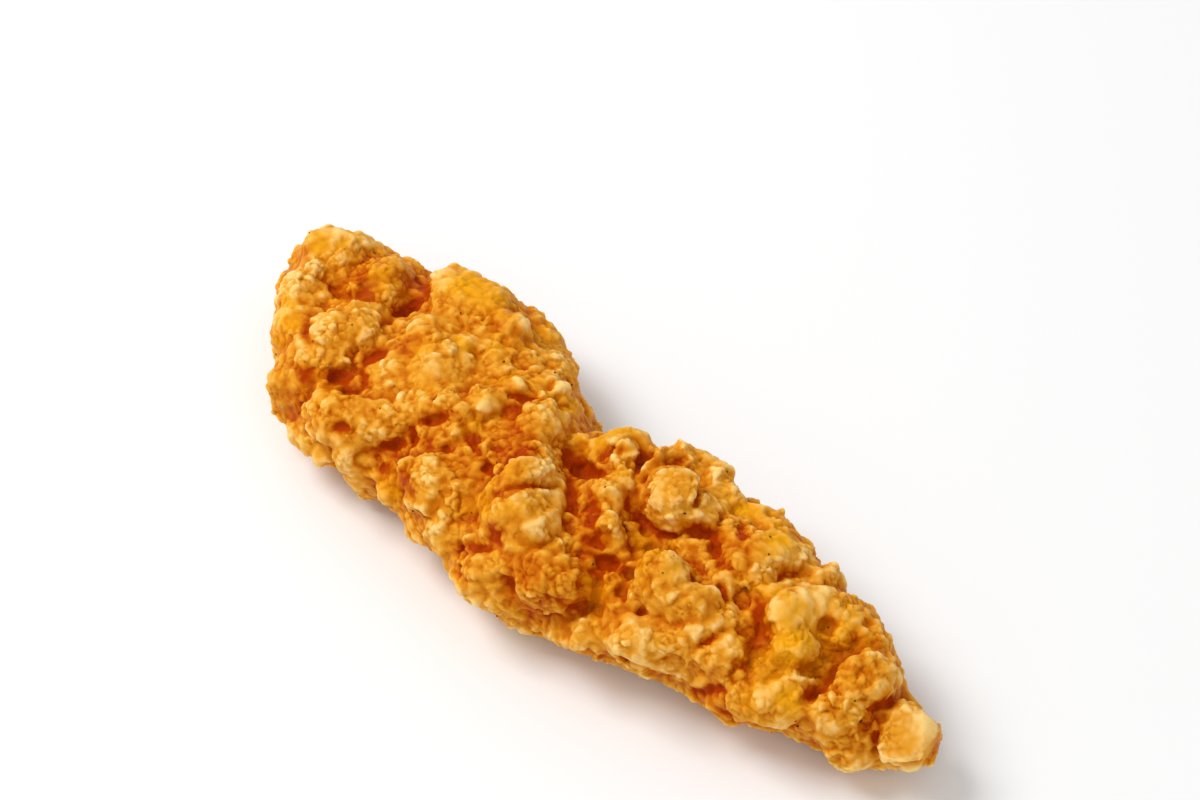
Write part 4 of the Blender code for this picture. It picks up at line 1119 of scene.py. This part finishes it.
crust_finish = Finish("fried_crust")
wide = crust_finish.attribute("crest_wide")
fine = crust_finish.attribute("crest_fine")
own_chance = crust_finish.attribute("chance")
deep = crust_finish.attribute("deep")
pale_and_lit = crust_finish.attribute("pale_and_lit")
yellow = crust_finish.attribute("yellow")
brown_and_shaded = crust_finish.attribute("brown_and_shaded")
mottle = crust_finish.noise(1.6 * MM, seed=2.0)
pebbles = crust_finish.cells(1.2 * MM)

# Painted light and shade go into the tone here, with the crust's own mottling and each crag's
# chance number.
tone_and_shading = WIDE_CREST * wide + FINE_CREST * fine
tone_and_shading = tone_and_shading + MOTTLED * (mottle - 0.5) - PEBBLE_SHADE * (pebbles - PEBBLE_MEAN)
tone_and_shading = tone_and_shading + BY_CRAG * (own_chance - 0.5) + PALE_AND_LIT_WEIGHT * pale_and_lit - BROWN_AND_SHADED_WEIGHT * brown_and_shaded - SHADED_GAP_WEIGHT * deep

# %% From tone to colour
TONES = (  # the tones between which the colour passes into the next one
    (-1.0, -0.2, ORANGE),
    (-0.4, 0.5, GOLD),
    (0.3, 1.4, LIT_PALE),
)
DRIFTS = (0.5, 0.66)  # a yellow drift comes in where the broad noise passes between these
DRIFT_SHARE = 0.5  # of the yellow in a drift, against that in a yellow patch
MOST_YELLOW = 0.7

colour = SHADED_DEEP
for low, high, next_colour in TONES:
    colour = crust_finish.mix(tone_and_shading.between(low, high), colour, next_colour)
broad = crust_finish.noise(9 * MM, seed=1.0)
yellowed = (DRIFT_SHARE * broad.between(*DRIFTS) + yellow).between(0, 1)
colour = crust_finish.mix(yellowed * MOST_YELLOW, colour, YELLOW)

# %% [markdown]
# What is finer than the mesh is left to bump: grain and pebbles about half a millimetre
# across. Light goes a little way into flour and fat and comes out warmer, which is what
# subsurface scattering does, and the oil on it gives only a weak, yellowish shine.

# %% Crust finish
GRAIN, SMALL_PEBBLES = 0.3, 0.25  # how much they count beside the pebbles
BUMP_DEPTH = 0.09 * MM

grainy = crust_finish.noise(0.4 * MM, seed=3.0, detail=2.0)
small_pebbles = crust_finish.cells(0.55 * MM)
relief = GRAIN * grainy - pebbles * pebbles - SMALL_PEBBLES * small_pebbles
bump = crust_finish.node(
    "ShaderNodeBump",
    values={"Strength": 1.0, "Distance": BUMP_DEPTH, "Height": relief},
)
crust_finish.set(
    Base_Color=colour,
    Roughness=0.5 - 0.12 * mottle.between(0.4, 0.6),
    Normal=bump,
    Subsurface_Weight=0.5,
    Subsurface_Radius=(1.0, 0.5, 0.12),
    Subsurface_Scale=1.3 * MM,
    Specular_IOR_Level=0.06,
    Specular_Tint=(1.0, 0.8, 0.3, 1.0),
)
crust.data.materials.clear()
crust.data.materials.append(crust_finish.material)

# %% [markdown]
# ## Pepper
#
# The batter has ground pepper in it, and a few dark crumbs of it show. They could be spots in
# the crust's colour, but a crumb stands out and catches light on its own faces. A few that
# can be made out have a row each, with a place and a radius. The others are scattered.

# %% Pepper, in mm
PEPPER = (
    (36.3, 1.1, 19.4, 0.38),
    (-57.4, -10.6, 6.2, 0.23),
    (-51.6, -4.5, 17.9, 0.23),
    (-38.6, -12.7, 18, 0.23),
    (1.3, -3.3, 19.7, 0.23),
    (60.9, -0.7, 13.5, 0.31),
    (65.3, 0.5, 9.3, 0.23),
    (58.6, 0.1, 15.6, 0.23),
    (34.7, 7.1, 20.8, 0.23),
    (-26.4, -13.6, 19.8, 0.23),
)
MORE_PEPPER = 60
MORE_RADIUS = (0.14, 0.26)
FLATTEST = 0.6  # a crumb's sides shrink to this share at the least
HIDDEN_BELOW = 2 * MM  # no crumbs under the piece, where nothing would be seen of them

# %% Crumbs
crust_tree = tree_of(crust_places)
pepper_shape = bmesh.new()


def add_crumb(index, radius):
    """An uneven crumb, half sunk into the crust at one of its vertices."""
    turn = Vector(crust_out[index]).to_track_quat("Z", "Y").to_matrix().to_4x4()
    squash = Matrix.Diagonal((1, *draw.uniform(FLATTEST, 1, 2), 1))
    where = Matrix.Translation(crust_places[index]) @ turn @ squash
    bmesh.ops.create_icosphere(pepper_shape, subdivisions=1, radius=radius * MM, matrix=where)


for *place, radius in PEPPER:
    add_crumb(crust_tree.find(Vector(place) * MM)[1], radius)
in_sight = np.flatnonzero(crust_places[:, 2] > HIDDEN_BELOW)
for index in draw.choice(in_sight, MORE_PEPPER, replace=False):
    add_crumb(index, draw.uniform(*MORE_RADIUS))
pepper_mesh = bpy.data.meshes.new("pepper")
pepper_shape.to_mesh(pepper_mesh)
pepper_shape.free()
pepper = new_object("pepper", pepper_mesh)
print("pepper:", len(PEPPER) + MORE_PEPPER, "crumbs,", triangle_count(pepper_mesh), "triangles")

# %% Pepper finish
DARK_PEPPER = shade(74, 32, 8)
LIGHT_PEPPER = shade(126, 66, 20)

pepper_finish = Finish("ground_pepper")
patchy = pepper_finish.noise(0.3 * MM, seed=4.0)
pepper_colour = pepper_finish.mix(patchy.between(0.4, 0.6), DARK_PEPPER, LIGHT_PEPPER)
pepper_finish.set(Base_Color=pepper_colour, Roughness=0.85 - 0.2 * patchy, Specular_IOR_Level=0.1)
pepper.data.materials.append(pepper_finish.material)

# %% [markdown]
# ## A flat map of the crust
#
# A copy that is painted, not worked out, needs the crust's skin laid flat. We cut it open
# along the underside, where the seam isn't seen, and roll it out: one side of the map is the
# way along the piece, the other the way round it.

# %% How far round a place is
MAP_SLICES = 30  # the piece is bent, so each slice along it has a middle of its own
QUARTER = 0.25  # a turn that brings the start from the side to the underside


def way_round(places):
    """How far round each place is, from 0 to 1, starting and ending underneath."""
    along = places[:, 0]
    cuts = np.linspace(along.min(), along.max(), MAP_SLICES + 1)
    slice_of = (np.digitize(along, cuts) - 1).clip(0, MAP_SLICES - 1)
    centres = (cuts[1:] + cuts[:-1]) / 2
    turned = []
    for across in (1, 2):
        sides = [places[slice_of == number, across] for number in range(MAP_SLICES)]
        middle = np.interp(along, centres, [(side.min() + side.max()) / 2 for side in sides])
        half = np.interp(along, centres, [np.ptp(side) / 2 for side in sides])
        turned.append((places[:, across] - middle) / half)
    return (np.arctan2(turned[1], turned[0]) / math.tau + QUARTER) % 1


# %% Rolling the crust out
MAP_MARGIN = 0.004  # kept clear at each edge of the map


def roll_out(mesh, places):
    """Gives the mesh its map. A face that lies across the cut is stretched to the far edge."""
    corners = np.empty(len(mesh.loops), np.int32)
    mesh.loops.foreach_get("vertex_index", corners)
    starts = np.empty(len(mesh.polygons), np.int32)
    mesh.polygons.foreach_get("loop_start", starts)
    along = ((places[:, 0] - places[:, 0].min()) / np.ptp(places[:, 0]))[corners]
    round_it = way_round(places)[corners]
    least = np.minimum.reduceat(round_it, starts)
    most = np.maximum.reduceat(round_it, starts)
    sizes = np.diff(np.append(starts, len(corners)))
    over_the_cut = np.repeat(most - least > 0.5, sizes)
    round_it[over_the_cut & (round_it < 0.5)] = 1
    flat = np.column_stack([along, round_it]) * (1 - 2 * MAP_MARGIN) + MAP_MARGIN
    layer = mesh.uv_layers.new(name="OFBake")
    layer.data.foreach_set("uv", flat.astype(np.float32).ravel())


roll_out(crust.data, crust_places)

# %% Joining the frame
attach(crust, "root")
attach(pepper, "root")
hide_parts(NODE)

# %% [markdown]
# ## Floor, light and camera
#
# The piece lies on a large plain floor. One soft light stands at the upper left and a weak
# one on the other side, so that every crag has a lit and a shaded flank. The camera stands
# well back with a long lens, so that the near end doesn't look larger than it is.

# %% Floor
FLOOR_HALF = 3.0  # metres from its middle to each edge

floor_shape = bmesh.new()
bmesh.ops.create_grid(floor_shape, x_segments=1, y_segments=1, size=FLOOR_HALF)
floor_mesh = bpy.data.meshes.new("floor")
floor_shape.to_mesh(floor_mesh)
floor_shape.free()
floor = new_object("floor", floor_mesh)
floor_finish = Finish("pale_floor")
floor_finish.set(Base_Color=shade(240, 240, 240), Roughness=0.6)
floor.data.materials.append(floor_finish.material)

# %% Camera
AZIMUTH = math.radians(46)
ELEVATION = math.radians(50)
DISTANCE = 461 * MM
LENS = 90.0
NEAREST = 0.01  # metres from the camera: nothing nearer is drawn
PIECE_MIDDLE = Vector((0, 4, 10)) * MM
RIGHT_OF_MIDDLE = 2.2 * MM  # the camera aims past the piece's middle, so it sits low in the frame
ABOVE_MIDDLE = 13.0 * MM

back = Vector(
    (
        math.sin(AZIMUTH) * math.cos(ELEVATION),
        -math.cos(AZIMUTH) * math.cos(ELEVATION),
        math.sin(ELEVATION),
    )
)
right = Vector((math.cos(AZIMUTH), math.sin(AZIMUTH), 0))
up = back.cross(right)
aim = PIECE_MIDDLE + right * RIGHT_OF_MIDDLE + up * ABOVE_MIDDLE
camera = bpy.data.objects.new("camera", bpy.data.cameras.new("camera"))
bpy.context.scene.collection.objects.link(camera)
camera.location = PIECE_MIDDLE + back * DISTANCE
camera.rotation_euler = (aim - camera.location).to_track_quat("-Z", "Y").to_euler()
camera.data.lens = LENS
camera.data.clip_start = NEAREST
bpy.context.scene.camera = camera

# %% Light
WORLD_LIGHT = 0.58


def add_softbox(name, place, size, power):
    """A square light in watts and metres, turned to the piece."""
    light = bpy.data.lights.new(name, "AREA")
    light.size = size
    light.energy = power
    made = bpy.data.objects.new(name, light)
    bpy.context.scene.collection.objects.link(made)
    made.location = place
    made.rotation_euler = (-Vector(place)).to_track_quat("-Z", "Y").to_euler()


add_softbox("key_light", place=(-0.62, -0.30, 0.88), size=0.55, power=9.05)
add_softbox("fill_light", place=(0.7, -0.4, 0.6), size=0.8, power=1.5)
world = bpy.data.worlds.new("studio")
world.use_nodes = True
background = world.node_tree.nodes["Background"]
background.inputs["Color"].default_value = (1, 1, 1, 1)
background.inputs["Strength"].default_value = WORLD_LIGHT
bpy.context.scene.world = world
bpy.context.scene.view_settings.view_transform = "Standard"
